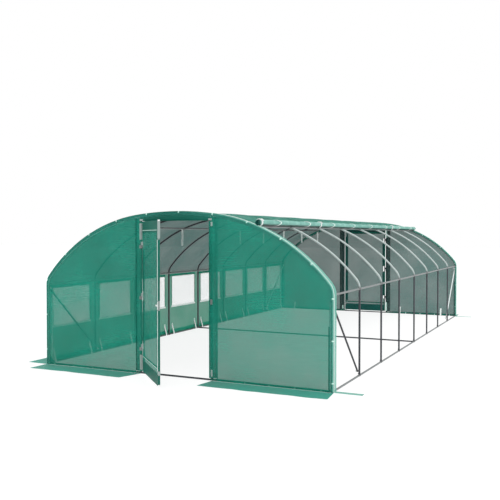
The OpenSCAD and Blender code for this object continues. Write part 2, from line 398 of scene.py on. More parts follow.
@dataclass(frozen=True)
class WovenCover:
    """One side of the green woven sheet with its reinforcing grid, which lets some sight through."""

    name: str
    side: Side
    deep: tuple[float, float, float]
    pale: tuple[float, float, float]
    hide: float = 0.55
    gloss: float = 0.14
    # Painted light and shade: a second colour blended in along one world axis over a span of places.
    painted_shading: tuple[float, float, float] | None = None
    painted_shading_axis: str = "Z"
    painted_shading_span: tuple[float, float] = (1.09, 1.03)
    cloud_scale: float = 1.7
    grid_pitch: float = 0.012
    tape_pitch: float = 0.024

    def material(self) -> bpy.types.Material:
        """Builds the woven sheet's material on the cloth's own UV map."""
        nodes = Nodes(f"{self.name}_{self.side.value}")
        place = nodes.weave()
        parts = nodes.add("ShaderNodeSeparateXYZ", {0: place})
        clouds = nodes.noise(place, self.cloud_scale, 3.0)
        lines = nodes.calc(
            "MAXIMUM",
            self._line(nodes, parts.outputs["X"], self.grid_pitch),
            self._line(nodes, parts.outputs["Y"], self.grid_pitch),
        )
        drift = nodes.plus(parts.outputs["Y"], nodes.times(clouds, 0.04))
        tapes = nodes.calc("ABSOLUTE", nodes.calc("SINE", nodes.times(drift, math.pi / self.tape_pitch)))
        stripes = nodes.noise(
            nodes.add(
                "ShaderNodeVectorMath", {0: place, 1: (4.0, 60.0, 1.0)}, operation="MULTIPLY"
            ).outputs[0],
            1.0,
            2.0
        )
        pattern = nodes.plus(nodes.times(lines, 0.30), nodes.times(tapes, 0.22))
        pattern = nodes.plus(pattern, nodes.times(stripes, 0.45))
        tone = nodes.plus(nodes.times(pattern, 0.6), nodes.spread(clouds, 0.0, 0.5))
        fine = nodes.noise(place, 190.0, 2.0)
        nodes.bump(nodes.plus(lines, nodes.times(fine, 0.4)), 0.25, 0.0008)
        cover = nodes.plus(nodes.times(pattern, 0.16), nodes.spread(clouds, self.hide - 0.08, self.hide))
        alpha = {"Alpha": nodes.calc("MINIMUM", cover, 1.0)} if self.hide < 1.0 else {}
        colour = nodes.blend(tone, self.deep, self.pale)
        # Painted light and shade: the second colour takes over along the axis where the surface stands in
        # light or in shade.
        if self.painted_shading:
            low, high = self.painted_shading_span
            far = nodes.add("ShaderNodeSeparateXYZ", {0: nodes.place()})
            wander = nodes.times(nodes.calc("SUBTRACT", clouds, 0.5), 2 * (high - low))
            value = nodes.plus(far.outputs[self.painted_shading_axis], wander)
            colour = nodes.blend(nodes.ramp(value, low, high), colour, self.painted_shading)
        return nodes.dress(
            Base_Color=colour,
            Roughness=nodes.spread(fine, 0.40, 0.55),
            Specular_IOR_Level=self.gloss,
            **alpha,
        )

    def _line(self, nodes: Nodes, along: bpy.types.NodeSocket, pitch: float) -> bpy.types.NodeSocket:
        """A soft line once every pitch along the cloth."""
        share = nodes.calc("FRACT", nodes.calc("DIVIDE", along, pitch))
        middle = nodes.calc("ABSOLUTE", nodes.calc("SUBTRACT", share, 0.5))
        return nodes.ramp(middle, 0.14, 0.06)


@dataclass(frozen=True)
class InsectMesh:
    """Fine pale mesh of the windows."""

    thread: tuple[float, float, float] = (0.82, 0.86, 0.86)
    hole_share: float = 0.75

    def material(self) -> bpy.types.Material:
        """Builds the mesh's material: fine threads with see-through holes between them."""
        nodes = Nodes("insect_mesh")
        place = nodes.weave()
        parts = nodes.add("ShaderNodeSeparateXYZ", {0: place})
        waves = [
            nodes.calc("ABSOLUTE", nodes.calc("SINE", nodes.times(parts.outputs[axis], math.pi / 0.004)))
            for axis in ("X", "Y")
        ]
        threads = nodes.calc("SUBTRACT", 1.0, nodes.times(waves[0], waves[1]))
        alpha = nodes.plus(nodes.times(threads, 0.35), (1.0 - self.hole_share) * 0.45)
        tone = nodes.spread(nodes.noise(place, 3.0), 0.0, 1.0)
        return nodes.dress(
            Base_Color=nodes.blend(tone, self.thread, (0.90, 0.92, 0.92)),
            Alpha=alpha,
            Roughness=nodes.spread(nodes.noise(place, 60.0), 0.55, 0.75),
        )


@dataclass(frozen=True)
class Zinc:
    """Zinc-coated steel with a faint spangle and dull patches, and a paler copy painted on where the tube
    stands in the light.
    """

    name: str
    bright: tuple[float, float, float]
    dull: tuple[float, float, float]
    lit_from_x: float | None = None
    lit_zinc: tuple[float, float, float] | None = None
    eave_z: float = 1.06

    def material(self) -> bpy.types.Material:
        """Builds the zinc finish on object coordinates."""
        nodes = Nodes(self.name)
        place = nodes.place()
        spangle = nodes.add("ShaderNodeTexVoronoi", {"Vector": place, "Scale": 170.0}).outputs["Color"]
        flakes = nodes.add("ShaderNodeSeparateColor", {0: spangle}).outputs[0]
        patches = nodes.noise(place, 5.0, 4.0)
        tone = nodes.plus(nodes.times(flakes, 0.35), nodes.spread(patches, 0.0, 0.6))
        nodes.bump(nodes.noise(place, 420.0), 0.12, 0.0003)
        zinc = nodes.blend(tone, self.dull, self.bright)
        # Painted light: the paler copy of the zinc is blended in where the tube stands in the light.
        if self.lit_zinc:
            zinc = nodes.blend(self._lit_share(nodes, place), zinc, self.lit_zinc)
        return nodes.dress(
            Base_Color=zinc,
            Metallic=0.45,
            Roughness=nodes.spread(patches, 0.32, 0.46),
            Specular_IOR_Level=0.4,
        )

    def _lit_share(self, nodes: Nodes, place: bpy.types.NodeSocket) -> bpy.types.NodeSocket:
        """How much of the painted-light copy of the zinc shows: above the right eave, or towards the rear
        end.
        """
        parts = nodes.add("ShaderNodeSeparateXYZ", {0: place}).outputs
        if self.lit_from_x is None:
            return nodes.ramp(parts["Y"], 0.0, 1.0)
        return nodes.times(
            nodes.ramp(parts["X"], self.lit_from_x, self.lit_from_x + 0.25),
            nodes.ramp(parts["Z"], self.eave_z, self.eave_z + 0.05),
        )


@dataclass(frozen=True)
class Webbing:
    """Pale woven strap with ribs along it."""

    name: str = "webbing"
    light: tuple[float, float, float] = (0.95, 0.98, 0.96)
    shade: tuple[float, float, float] = (0.76, 0.84, 0.80)

    def material(self) -> bpy.types.Material:
        """Builds the strap's material with a fine diagonal rib."""
        nodes = Nodes(self.name)
        place = nodes.place()
        ribs = {"Vector": place, "Scale": 160.0, "Distortion": 1.5}
        rib = nodes.add("ShaderNodeTexWave", ribs, bands_direction="DIAGONAL").outputs["Fac"]
        nodes.bump(rib, 0.35, 0.0006)
        tone = nodes.times(rib, nodes.spread(nodes.noise(place, 9.0), 0.3, 0.8))
        return nodes.dress(
            Base_Color=nodes.blend(tone, self.light, self.shade),
            Roughness=nodes.spread(rib, 0.7, 0.9),
            Sheen_Weight=0.2,
        )


@dataclass(frozen=True)
class MouldedPlastic:
    """White moulded fittings with a faint texture and patches of grime."""

    light: tuple[float, float, float] = (0.80, 0.83, 0.82)
    grime: tuple[float, float, float] = (0.55, 0.58, 0.57)

    def material(self) -> bpy.types.Material:
        """Builds the plastic's material."""
        nodes = Nodes("moulded_plastic")
        place = nodes.place()
        patches = nodes.noise(place, 22.0, 3.0)
        nodes.bump(nodes.noise(place, 900.0), 0.1, 0.0002)
        return nodes.dress(
            Base_Color=nodes.blend(nodes.spread(patches, 0.0, 0.5), self.light, self.grime),
            Roughness=nodes.spread(patches, 0.35, 0.5),
        )


def woven(
    name: str, face: Sequence[object], back: Sequence[object]
) -> tuple[bpy.types.Material, bpy.types.Material]:
    """The finishes of a sheet's face and back.

    Args:
        name: what the finish is called.
        face: the values of the face's WovenCover, from its deep colour on.
        back: the same for the back.

    Returns:
        The two materials.
    """
    return WovenCover(name, Side.FACE, *face).material(), WovenCover(name, Side.BACK, *back).material()


class Finishes:
    """All the finishes, each built once; a cloth has one for its face and one for its back."""

    def __init__(self) -> None:
        """Builds every material."""
        # The backs of the cover, sleeve, doubled cover, pocket, skirt and rolled flaps are darker, greyer
        # copies of their faces: painted shade inside the tunnel and under the cloth.
        self.cover = woven(
            "woven_cover",
            ((0.006, 0.22, 0.145), (0.016, 0.36, 0.255), 0.53),
            ((0.008, 0.080, 0.070), (0.016, 0.125, 0.112), 0.65, 0.0),
        )
        # Inner face of the main cover: dark grey-green, painted shade inside the tunnel, turning greener
        # below the eave, painted light on the inner walls.
        self.inner_face = WovenCover(
            "cover_lining",
            Side.BACK,
            (0.008, 0.080, 0.070),
            (0.016, 0.120, 0.108),
            0.71,
            0.0,
            (0.008, 0.30, 0.185),
        ).material()
        # Hoop sleeves: paler towards the right side, painted light where they stand in the light.
        self.sleeve = woven(
            "hoop_sleeve",
            ((0.006, 0.105, 0.075), (0.012, 0.17, 0.125), 0.88, 0.1, (0.13, 0.38, 0.31), "X", (0.2, 0.9)),
            ((0.006, 0.050, 0.043), (0.014, 0.085, 0.074), 0.8, 0.0),
        )
        self.double = woven(
            "doubled_cover",
            ((0.004, 0.110, 0.075), (0.012, 0.170, 0.125), 0.80),
            ((0.004, 0.040, 0.034), (0.010, 0.060, 0.052), 0.80, 0.0),
        )
        # Side roll: one side dark, painted shade; the other a much paler copy of the cover, painted light on
        # the roll's top, turning dark along its underside, painted shade.
        roll_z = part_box("side_roll")[0].z
        self.roll = woven(
            "side_roll_cover",
            ((0.008, 0.060, 0.050), (0.014, 0.090, 0.076), 1.0, 0.0),
            (
                (0.02, 0.20, 0.15),
                (0.30, 0.60, 0.52),
                1.0,
                0.2,
                (0.006, 0.055, 0.045),
                "Z",
                (roll_z + 0.022, roll_z + 0.012),
                7.0
            ),
        )
        # Post pockets: darker from the front end to the rear, painted shade on the rear pockets.
        self.pocket = woven(
            "post_pocket",
            ((0.006, 0.22, 0.145), (0.016, 0.36, 0.255), 0.53, 0.14, (0.012, 0.055, 0.050), "Y", (0.0, 1.0)),
            ((0.008, 0.060, 0.052), (0.016, 0.095, 0.085), 0.65, 0.0),
        )
        self.skirt = woven(
            "skirt_cover",
            ((0.010, 0.32, 0.225), (0.03, 0.44, 0.34), 0.66),
            ((0.008, 0.055, 0.050), (0.016, 0.090, 0.082), 0.75, 0.0),
        )
        self.hem = woven(
            "hem_cover",
            ((0.020, 0.22, 0.16), (0.04, 0.34, 0.26), 0.40, 0.1),
            ((0.05, 0.14, 0.13), (0.09, 0.20, 0.18), 0.30, 0.0),
        )
        # Window flaps: darker than the cover, painted shade on the rolled flaps.
        self.rolled = woven(
            "rolled_cover",
            ((0.010, 0.070, 0.056), (0.13, 0.38, 0.31), 1.0, 0.3),
            ((0.008, 0.060, 0.050), (0.014, 0.090, 0.076), 1.0, 0.0),
        )
        # Corner strips: a pale copy of the cover, painted light where the strips face the light at the right
        # side.
        self.lit_strip = woven(
            "strip_painted_light",
            ((0.10, 0.42, 0.33), (0.24, 0.58, 0.48), 0.62, 0.3),
            ((0.06, 0.36, 0.27), (0.12, 0.46, 0.37), 0.60, 0.0),
        )
        self.mesh = InsectMesh().material()
        # Hoop tubes: a dark tone that stands in for the shade under the cover, and a pale copy above the
        # right eave, painted light on the arcs out in the light.
        self.tube = Zinc(
            "galvanised_tube", (0.075, 0.08, 0.09), (0.04, 0.042, 0.05), 0.9, (0.46, 0.52, 0.51)
        ).material()
        self.post = Zinc("post_tube", (0.08, 0.09, 0.095), (0.04, 0.045, 0.05)).material()
        self.rail = Zinc("galvanised_rail", (0.26, 0.28, 0.28), (0.15, 0.16, 0.165)).material()
        self.bright = Zinc("bright_tube", (0.34, 0.40, 0.38), (0.22, 0.27, 0.26)).material()
        # Braces: near black at the front end and near white towards the rear, painted shade and painted light
        # on copies of one tube.
        self.brace = Zinc(
            "brace_tube", (0.045, 0.048, 0.055), (0.03, 0.032, 0.036), None, (0.75, 0.80, 0.79)
        ).material()
        self.fitting = Zinc("zinc_fitting", (0.26, 0.27, 0.27), (0.14, 0.15, 0.15)).material()
        self.webbing = Webbing().material()
        self.tape = Webbing("sewn_tape", (0.55, 0.78, 0.70), (0.42, 0.66, 0.58)).material()
        self.wrap = Webbing("grey_wrap", (0.30, 0.37, 0.35), (0.20, 0.26, 0.25)).material()
        self.seam = Webbing("green_seam", (0.10, 0.40, 0.31), (0.06, 0.28, 0.21)).material()
        self.piping = Webbing("pale_piping", (0.90, 0.97, 0.94), (0.74, 0.88, 0.83)).material()
        self.plastic = MouldedPlastic().material()


# ---------------------------------------------------------------- the tunnel's own geometry


@dataclass
class Tunnel:
    """The hoops' outline and the tunnel's main places, from the frame and a few radii."""

    crown_r: float = 4.3
    crown_angle: float = math.radians(7.2)
    elbow_r: float = 0.179
    bays: int = 8
    tube_r: float = 0.0125
    purlin_x: float = 1.08
    post_x: float = 0.5
    header_z: float = 1.9
    leg_x: float = field(init=False)
    eave_z: float = field(init=False)
    front_y: float = field(init=False)
    rear_y: float = field(init=False)

    def __post_init__(self) -> None:
        """Reads the hoops' places and works out the side arc that joins crown and elbow."""
        low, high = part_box("front_hoop")
        self.leg_x = high.x - self.tube_r
        self.front_y = (low.y + high.y) / 2
        rear_low, rear_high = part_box("rear_hoop")
        self.rear_y = (rear_low.y + rear_high.y) / 2
        self.eave_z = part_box("left_wall")[1].z
        self.bay = (self.rear_y - self.front_y) / self.bays
        self.length = self.rear_y - self.front_y
        self.crown_c = Vector((0.0, high.z - self.tube_r - self.crown_r))
        way = Vector((math.sin(self.crown_angle), math.cos(self.crown_angle)))
        crown_end = self.crown_c + self.crown_r * way
        self.elbow_c = Vector((self.leg_x - self.elbow_r, self.eave_z))
        chord = self.elbow_c - crown_end
        self.side_r = (self.elbow_r**2 - chord.length_squared) / (2 * (chord.dot(way) + self.elbow_r))
        self.side_c = crown_end - self.side_r * way
        turn = self.elbow_c - self.side_c
        self.side_angle = math.atan2(turn.x, turn.y)
        self.purlin_angle = math.asin((self.purlin_x - self.side_c.x) / self.side_r)
        self.crown_s = self.crown_r * self.crown_angle
        self.side_s = self.crown_s + self.side_r * (self.side_angle - self.crown_angle)
        self.eave_s = self.side_s + self.elbow_r * (math.pi / 2 - self.side_angle)
        self.foot_s = self.eave_s + self.eave_z
        self.purlin_s = self.crown_s + self.side_r * (self.purlin_angle - self.crown_angle)

    def arch(self, s: float, out: float = 0.0) -> Vector:
        """A place on the hoops' outline.

        Args:
            s: distance along the centre line from the crown, positive to the right.
            out: distance outwards from the centre line.

        Returns:
            The place, as x and z.
        """
        side, s = (1.0 if s >= 0 else -1.0), abs(s)
        if s <= self.crown_s:
            centre, radius, angle = self.crown_c, self.crown_r, s / self.crown_r
        elif s <= self.side_s:
            centre, radius = self.side_c, self.side_r
            angle = self.crown_angle + (s - self.crown_s) / self.side_r
        elif s <= self.eave_s:
            centre, radius = self.elbow_c, self.elbow_r
            angle = self.side_angle + (s - self.side_s) / self.elbow_r
        else:
            return Vector((side * (self.leg_x + out), self.eave_z - (s - self.eave_s)))
        x = centre.x + (radius + out) * math.sin(angle)
        return Vector((side * x, centre.y + (radius + out) * math.cos(angle)))

    def slope(self, s: float) -> float:
        """The outline's outward direction at a place, as an angle from the vertical towards +X."""
        inner, outer = self.arch(s), self.arch(s, 0.01)
        return math.atan2(outer.x - inner.x, outer.y - inner.y)

    def roof_z(self, x: float, out: float = 0.0) -> float:
        """The outline's height above a place across the tunnel.

        Args:
            x: distance from the middle.
            out: distance outwards from the centre line.

        Returns:
            The height.
        """
        low, high = 0.0, self.eave_s
        for _ in range(40):
            middle = (low + high) / 2
            low, high = (middle, high) if self.arch(middle, out).x < abs(x) else (low, middle)
        return self.arch(low, out).y

    def at(self, x: float, y: float, z: float) -> Vector:
        """A point given by its distance behind the front hoop."""
        return Vector((x, self.front_y + y, z))

    def turned(self) -> Matrix:
        """The half turn that takes the front end to the rear end."""
        middle = (self.front_y + self.rear_y) / 2
        return Matrix.Translation((0, 2 * middle, 0)) @ Matrix.Rotation(math.pi, 4, "Z")


@dataclass
class Part:
    """One sub-assembly: it builds pieces, dresses them and hands them to a body."""

    tunnel: Tunnel
    finishes: Finishes
    pieces: list[bpy.types.Object] = field(default_factory=list, init=False)

    def keep(
        self,
        piece: bpy.types.Object,
        material: bpy.types.Material,
        slot: str,
        body: str = TUNNEL,
        replaces: Sequence[str] = (),
        inner: bpy.types.Material | None = None,
    ) -> bpy.types.Object:
        """Dresses a finished piece and gives it to its body.

        Args:
            piece: the piece, in place.
            material: its finish.
            slot: the record's material slot; not used.
            body: the body that it moves with.
            replaces: the CAD nodes that it stands for.
            inner: the finish of a cloth's back, if it isn't the same.

        Returns:
            The same piece.
        """
        backs = [face.material_index > 0 for face in piece.data.polygons]
        piece.data.materials.clear()
        for finish in (material, inner or material):
            piece.data.materials.append(finish)
        if inner is None:
            piece.data.materials.pop()
        for face, back in zip(piece.data.polygons, backs):
            face.material_index = int(back and inner is not None)
        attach(piece, body)
        if replaces:
            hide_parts(*replaces)
        self.pieces.append(piece)
        return piece

    def cloth(
        self,
        piece: bpy.types.Object,
        flat: tuple[float, float],
        held: str,
        rests_on: Sequence[str],
        area: float | None = None,
        body: str = TUNNEL,
        replaces: Sequence[str] = (),
        finish: tuple[bpy.types.Material, bpy.types.Material | None] | None = None,
    ) -> bpy.types.Object:
        """Args:
            piece: the piece, in place.
            flat: the size that it was cut to; not used.
            held: how it is held; not used.
            rests_on: what it lies on or hangs from; not used.
            area: its flat area, where it isn't a rectangle; not used.
            body: the body that it moves with.
            replaces: the CAD nodes that it stands for.
            finish: its face's and back's finishes, if they aren't the single sheet's.

        Returns:
            The same piece.
        """
        face, back = finish or self.finishes.cover
        self.keep(piece, face, "cover", body, replaces, back)
        return piece

    def other_end(self, piece: bpy.types.Object, name: str) -> bpy.types.Object:
        """Copies a piece, with its own mesh, from the front end to the rear end.

        Args:
            piece: the piece at the front end.
            name: the copy's name.

        Returns:
            The copy.
        """
        copy = piece.copy()
        copy.data = piece.data.copy()
        copy.name = name
        copy.data.transform(self.tunnel.turned())
        bpy.context.scene.collection.objects.link(copy)
        return copy

    def straps(
        self,
        name: str,
        paths: Sequence[Sequence[Vector]],
        across: Vector,
        width: float,
        thickness: float = 0.0018,
    ) -> bpy.types.Object:
        """Makes flat webbing along some paths.

        Args:
            name: the piece's name.
            paths: the middle lines of the straps.
            across: the direction of their width.
            width: how wide they are.
            thickness: how thick they are.

        Returns:
            The new piece.
        """
        half = across.normalized() * width / 2
        grids = [[[point - half, point, point + half] for point in path] for path in paths]
        return cloth_mesh(name, grids, thickness)


def rings(
    path: Sequence[Vector],
    size: Callable[[float, float], float],
    sides: int = 14,
    hint: Vector = Vector((0, 1, 0)),
) -> list[list[Vector]]:
    """Closed rings of points round a path, for a cloth tube.

    Args:
        path: the middle line.
        size: the radius at a distance along the path and an angle round it.
        sides: how many points a ring has.
        hint: the direction that angles start from, which isn't along the path.

    Returns:
        One row of points for each point of the path.
    """
    rows = []
    for i, (point, far) in enumerate(zip(path, _running(path))):
        along = (path[min(i + 1, len(path) - 1)] - path[max(i - 1, 0)]).normalized()
        first = (hint - hint.dot(along) * along).normalized()
        second = along.cross(first)
        row = []
        for k in range(sides + 1):
            angle = 2 * math.pi * (k % sides) / sides
            row.append(point + size(far, angle) * (math.cos(angle) * first + math.sin(angle) * second))
        rows.append(row)
    return rows


def wavy(radius: float, wave: float, rate: float, seed: float) -> Callable[[float, float], float]:
    """The size of a cloth tube that is a little uneven.

    Args:
        radius: its mean radius.
        wave: how much the radius changes.
        rate: how fast it changes along the tube.
        seed: tells one tube from another.

    Returns:
        The radius, as rings() takes it.
    """
    return lambda far, angle: radius + wave * ripple(far * rate, angle, seed)


def rolled(
    centre: Vector,
    out: Vector,
    outer: float,
    inner: float,
    length: float,
    ys: Sequence[float],
    per_turn: int,
    lump: Callable[[float, float], float],
) -> list[list[Vector]]:
    """Rows of points of a sheet that is rolled up outwards round an axis along the tunnel.

    Args:
        centre: the axis, as x and z.
        out: the direction away from what the roll lies on, as x and z.
        outer: the outside radius.
        inner: the radius of the first turn.
        length: how much sheet is in the roll.
        ys: the rows' places along the axis.
        per_turn: how many points a turn has.
        lump: what the radius is multiplied by, at a place along the axis and an angle round it.

    Returns:
        The rows.
    """
    down = Vector((out.y, -out.x)) * (1 if out.x >= 0 else -1)
    pitch = math.pi * (outer**2 - inner**2) / length
    turns = (outer - inner) / pitch
    count = round(turns * per_turn)
    rows = []
    for y in ys:
        row = []
        for k in range(count + 1):
            angle = 2 * math.pi * turns * k / count
            size = (outer - pitch * angle / (2 * math.pi)) * lump(y, angle)
            way = math.sin(angle) * down - math.cos(angle) * out
            row.append(Vector((centre.x + size * way.x, y, centre.y + size * way.y)))
        rows.append(row)
    return rows


# ---------------------------------------------------------------- sub-assemblies


@dataclass
class MainSheet(Part):
    """The cover from the left ground over the hoops to the right purlin, with its windows."""

    thickness: float = CLOTH_T
    rest: float = 0.0140
    end_rest: float = 0.0166
    sag: float = 0.010
    window_w: float = 0.76
    window_h: float = 0.51
    sill_z: float = 0.49
    hem: float = 0.026
    flap_r: float = 0.0195
    flap_over: float = 0.025
    flap_sheet: float = 0.60
    sleeve_r: float = 0.0164

    def build(self) -> None:
        """Builds the cover, its windows, the rolled-up flaps and the sleeves on the end hoops."""
        self._cover()
        self._window_hems()
        self._wall_tapes()
        self._windows()
        self._flaps()
        self._flap_ties()
        self._sleeves()

    def surface(self, s: float, y: float, lift: float = 0.0) -> Vector:
        """A point on the cover's outside.

        Args:
            s: distance along the hoops from the crown.
            y: distance behind the front hoop.
            lift: how far above the surface it is.

        Returns:
            The point.
        """
        t = self.tunnel
        end = min(abs(y), abs(t.length - y))
        out = self.rest + (self.end_rest - self.rest) * math.exp(-((end / 0.04) ** 2))
        share = (y / t.bay) % 1.0
        loose = 4 * share * (1 - share)
        knots = [-t.foot_s, -t.eave_s, -t.purlin_s, 0.0, t.purlin_s]
        for start, finish in zip(knots, knots[1:]):
            if start <= s <= finish:
                arc = math.sin(math.pi * (s - start) / (finish - start))
        wall = s < -t.eave_s
        folds = ripple(s * 1.6, y * 3.2, 4.0) + 0.5 * ripple(s * 5.0, y * 7.0, 9.0)
        out -= self.sag * loose * arc * (0.25 if wall else 1.0)
        out += (0.0035 if wall else 0.0028) * folds * loose * arc
        if s > t.purlin_s - 0.08:
            out -= 0.0016 * (s - t.purlin_s + 0.08) / 0.08
        spot = t.arch(s, out + lift)
        return t.at(spot.x, y, spot.y)

    def _down(self, z: float) -> float:
        """The place along the hoops of a height on the left wall."""
        return -(self.tunnel.eave_s + self.tunnel.eave_z - z)

    def _cover(self) -> None:
        """Makes the one continuous sheet, with an opening for each window."""
        t = self.tunnel
        edge = (1 - self.window_w / t.bay) / 2
        knots = [0.0]
        for bay in range(t.bays):
            knots += [(bay + edge) * t.bay, (bay + 1 - edge) * t.bay, (bay + 1) * t.bay]
        ys = between(knots, 0.066)
        sill, top = self._down(self.sill_z), self._down(self.sill_z + self.window_h)
        ss = between([self._down(0.003), sill, top, -t.eave_s], 0.07)
        ss += between([-t.eave_s, -t.side_s], 0.021)[1:]
        ss += between([-t.side_s, -t.purlin_s, 0.0, t.purlin_s], 0.06)[1:]

        def open_cell(i: int, j: int) -> bool:
            share = ((ys[i] + ys[i + 1]) / 2 / t.bay) % 1.0
            return sill < (ss[j] + ss[j + 1]) / 2 < top and edge < share < 1 - edge

        piece = cloth_mesh(
            "main_cover", [[[self.surface(s, y) for s in ss] for y in ys]], self.thickness, open_cell
        )
        width = t.foot_s + t.purlin_s
        holes = t.bays * self.window_w * self.window_h
        self.cloth(
            piece,
            (width, t.length),
            "stretched",
            ["front_hoop", "hoop_4", "rear_hoop", "ridge_tube", "left_purlin"],
            width * t.length - holes,
            replaces=("roof_cover", "left_wall"),
            finish=(self.finishes.cover[0], self.finishes.inner_face),
        )

    def _window_hems(self) -> None:
        """Makes each window's doubled hem, and its sill's tapes, pale inside and green outside."""
        t, w, h, hem = self.tunnel, self.window_w / 2, self.window_h, self.hem
        frames, tapes, seams = [], [], []
        for bay in range(t.bays):
            middle = (bay + 0.5) * t.bay
            ys = [middle - w - hem] + steps(middle - w, middle + w, 0.066) + [middle + w + hem]
            zs = [self.sill_z - hem] + steps(self.sill_z, self.sill_z + h, 0.066) + [self.sill_z + h + hem]
            frames.append([[self.surface(self._down(z), y, 0.0009) for z in zs] for y in ys])
            lines = [self.sill_z - 0.022, self.sill_z - 0.008, self.sill_z + 0.006]
            tapes.append([[self.surface(self._down(z), y, -0.0016) for z in lines] for y in ys])
            seams.append([[self.surface(self._down(z), y, 0.0018) for z in lines] for y in ys])
        rows, columns = len(frames[0]), len(frames[0][0])
        piece = cloth_mesh(
            "window_hems", frames, self.thickness, lambda i, j: 0 < i < rows - 2 and 0 < j < columns - 2
        )
        self.cloth(piece, (hem, t.bays * 4 * (w + h / 2 + hem)), "stretched", ["main_cover"])
        self.keep(cloth_mesh("window_sill_tapes", tapes, CLOTH_T), self.finishes.piping, "webbing")
        self.keep(cloth_mesh("window_sill_seams", seams, CLOTH_T), self.finishes.seam, "webbing")

    def _wall_tapes(self) -> None:
        """Makes the pale tape inside the left wall near each end, which turns in at its foot."""
        t, paths = self.tunnel, []
        for way in (1, -1):
            path = []
            for z in steps(0.93, 0.10, 0.06):
                path.append((0.10 - 0.012 * (0.93 - z), z))
            path += [(0.105, 0.065), (0.125, 0.04), (0.155, 0.022), (0.20, 0.014)]
            places = [(y if way > 0 else t.length - y, z) for y, z in path]
            paths.append([self.surface(self._down(z), y, -0.0016) for y, z in places])
        piece = self.straps("left_wall_tapes", paths, Vector((0, 1, 0.6)), 0.024, CLOTH_T)
        self.keep(piece, self.finishes.piping, "webbing")

    def _windows(self) -> None:
        """Makes the mesh of each window, a little slack in its frame."""
        t, w = self.tunnel, self.window_w / 2 + 0.012
        low, high = self.sill_z - 0.012, self.sill_z + self.window_h + 0.012
        for bay in range(t.bays):
            middle = (bay + 0.5) * t.bay
            ys, zs = steps(middle - w, middle + w, 0.05), steps(low, high, 0.05)
            rows = []
            for y in ys:
                row = []
                for z in zs:
                    slack = math.sin(math.pi * (y - ys[0]) / (2 * w))
                    slack *= math.sin(math.pi * (z - low) / (high - low))
                    lift = -0.0007 - 0.002 * slack * (1 + ripple(y * 3, z * 3, 2))
                    row.append(self.surface(self._down(z), y, lift))
                rows.append(row)
            piece = cloth_mesh(f"window_mesh_{bay + 1}", [rows], 0.0005)
            self.cloth(
                piece,
                (2 * w, high - low),
                "stretched",
                ["main_cover"],
                replaces=("window_mesh",),
                finish=(self.finishes.mesh, None),
            )

    def _flaps(self) -> None:
        """Makes the flap of each window, rolled up above it."""
        t, reach = self.tunnel, self.window_w / 2 + self.flap_over
        for bay in range(t.bays):
            middle = (bay + 0.5) * t.bay
            ys = [t.front_y + y for y in steps(middle - reach, middle + reach, 0.05)]
            centre = Vector(
                (-t.leg_x - self.rest - 0.0012 - self.flap_r, self.sill_z + self.window_h + 0.020)
            )

            def lump(y: float, angle: float, seed: float = bay * 7.0) -> float:
                around = Vector((math.cos(angle), math.sin(angle)))
                pinch = min(abs(y - t.front_y - middle - side * 0.25) for side in (-1, 1))
                bulge = 0.11 * noise.noise(Vector((around.x, around.y, y * 9 + seed)))
                return 0.93 + bulge - 0.13 * math.exp(-((pinch / 0.022) ** 2))

            rows = rolled(centre, Vector((-1, 0)), self.flap_r, 0.005, self.flap_sheet, ys, 16, lump)
            piece = cloth_mesh(f"window_flap_{bay + 1}", [rows], 0.0007)
            self.cloth(
                piece,
                (self.flap_sheet, 2 * reach),
                "folded",
                ["main_cover"],
                replaces=("window_flaps",),
                finish=self.finishes.rolled,
            )

    def _flap_ties(self) -> None:
        """Makes the two pale ties round each rolled flap."""
        t, paths = self.tunnel, []
        centre = Vector((-t.leg_x - self.rest - self.flap_r, self.sill_z + self.window_h + 0.020))
        size = self.flap_r * 0.93 + 0.0004
        for bay in range(t.bays):
            for side in (-0.25, 0.25):
                y = (bay + 0.5) * t.bay + side
                points = [
                    t.at(centre.x - size * math.cos(angle), y, centre.y + size * math.sin(angle))
                    for angle in steps(math.radians(-115), math.radians(115), 0.3)
                ]
                head = t.at(-t.leg_x - self.rest - 0.0016, y, centre.y + self.flap_r + 0.018)
                paths.append(points + [head])
        self.keep(self.straps("flap_ties", paths, Vector((0, 1, 0)), 0.014), self.finishes.webbing, "webbing")

    def _sleeves(self) -> None:
        """Makes the sleeves that wrap the two end hoops from foot to foot."""
        t = self.tunnel
        path = []
        for s in steps(-(t.foot_s - 0.006), t.foot_s - 0.006, 0.045):
            spot = t.arch(s)
            path.append(t.at(spot.x, 0.0, spot.y))
        size = wavy(self.sleeve_r, 0.0007, 9, 3.0)
        piece = cloth_mesh("front_hoop_sleeve", [rings(path, size)], CLOTH_T)
        flat = (2 * math.pi * self.sleeve_r, 2 * t.foot_s)
        for sleeve, hoop in ((piece, "front_hoop"), (self.other_end(piece, "rear_hoop_sleeve"), "rear_hoop")):
            self.cloth(sleeve, flat, "stretched", [hoop], finish=self.finishes.sleeve)


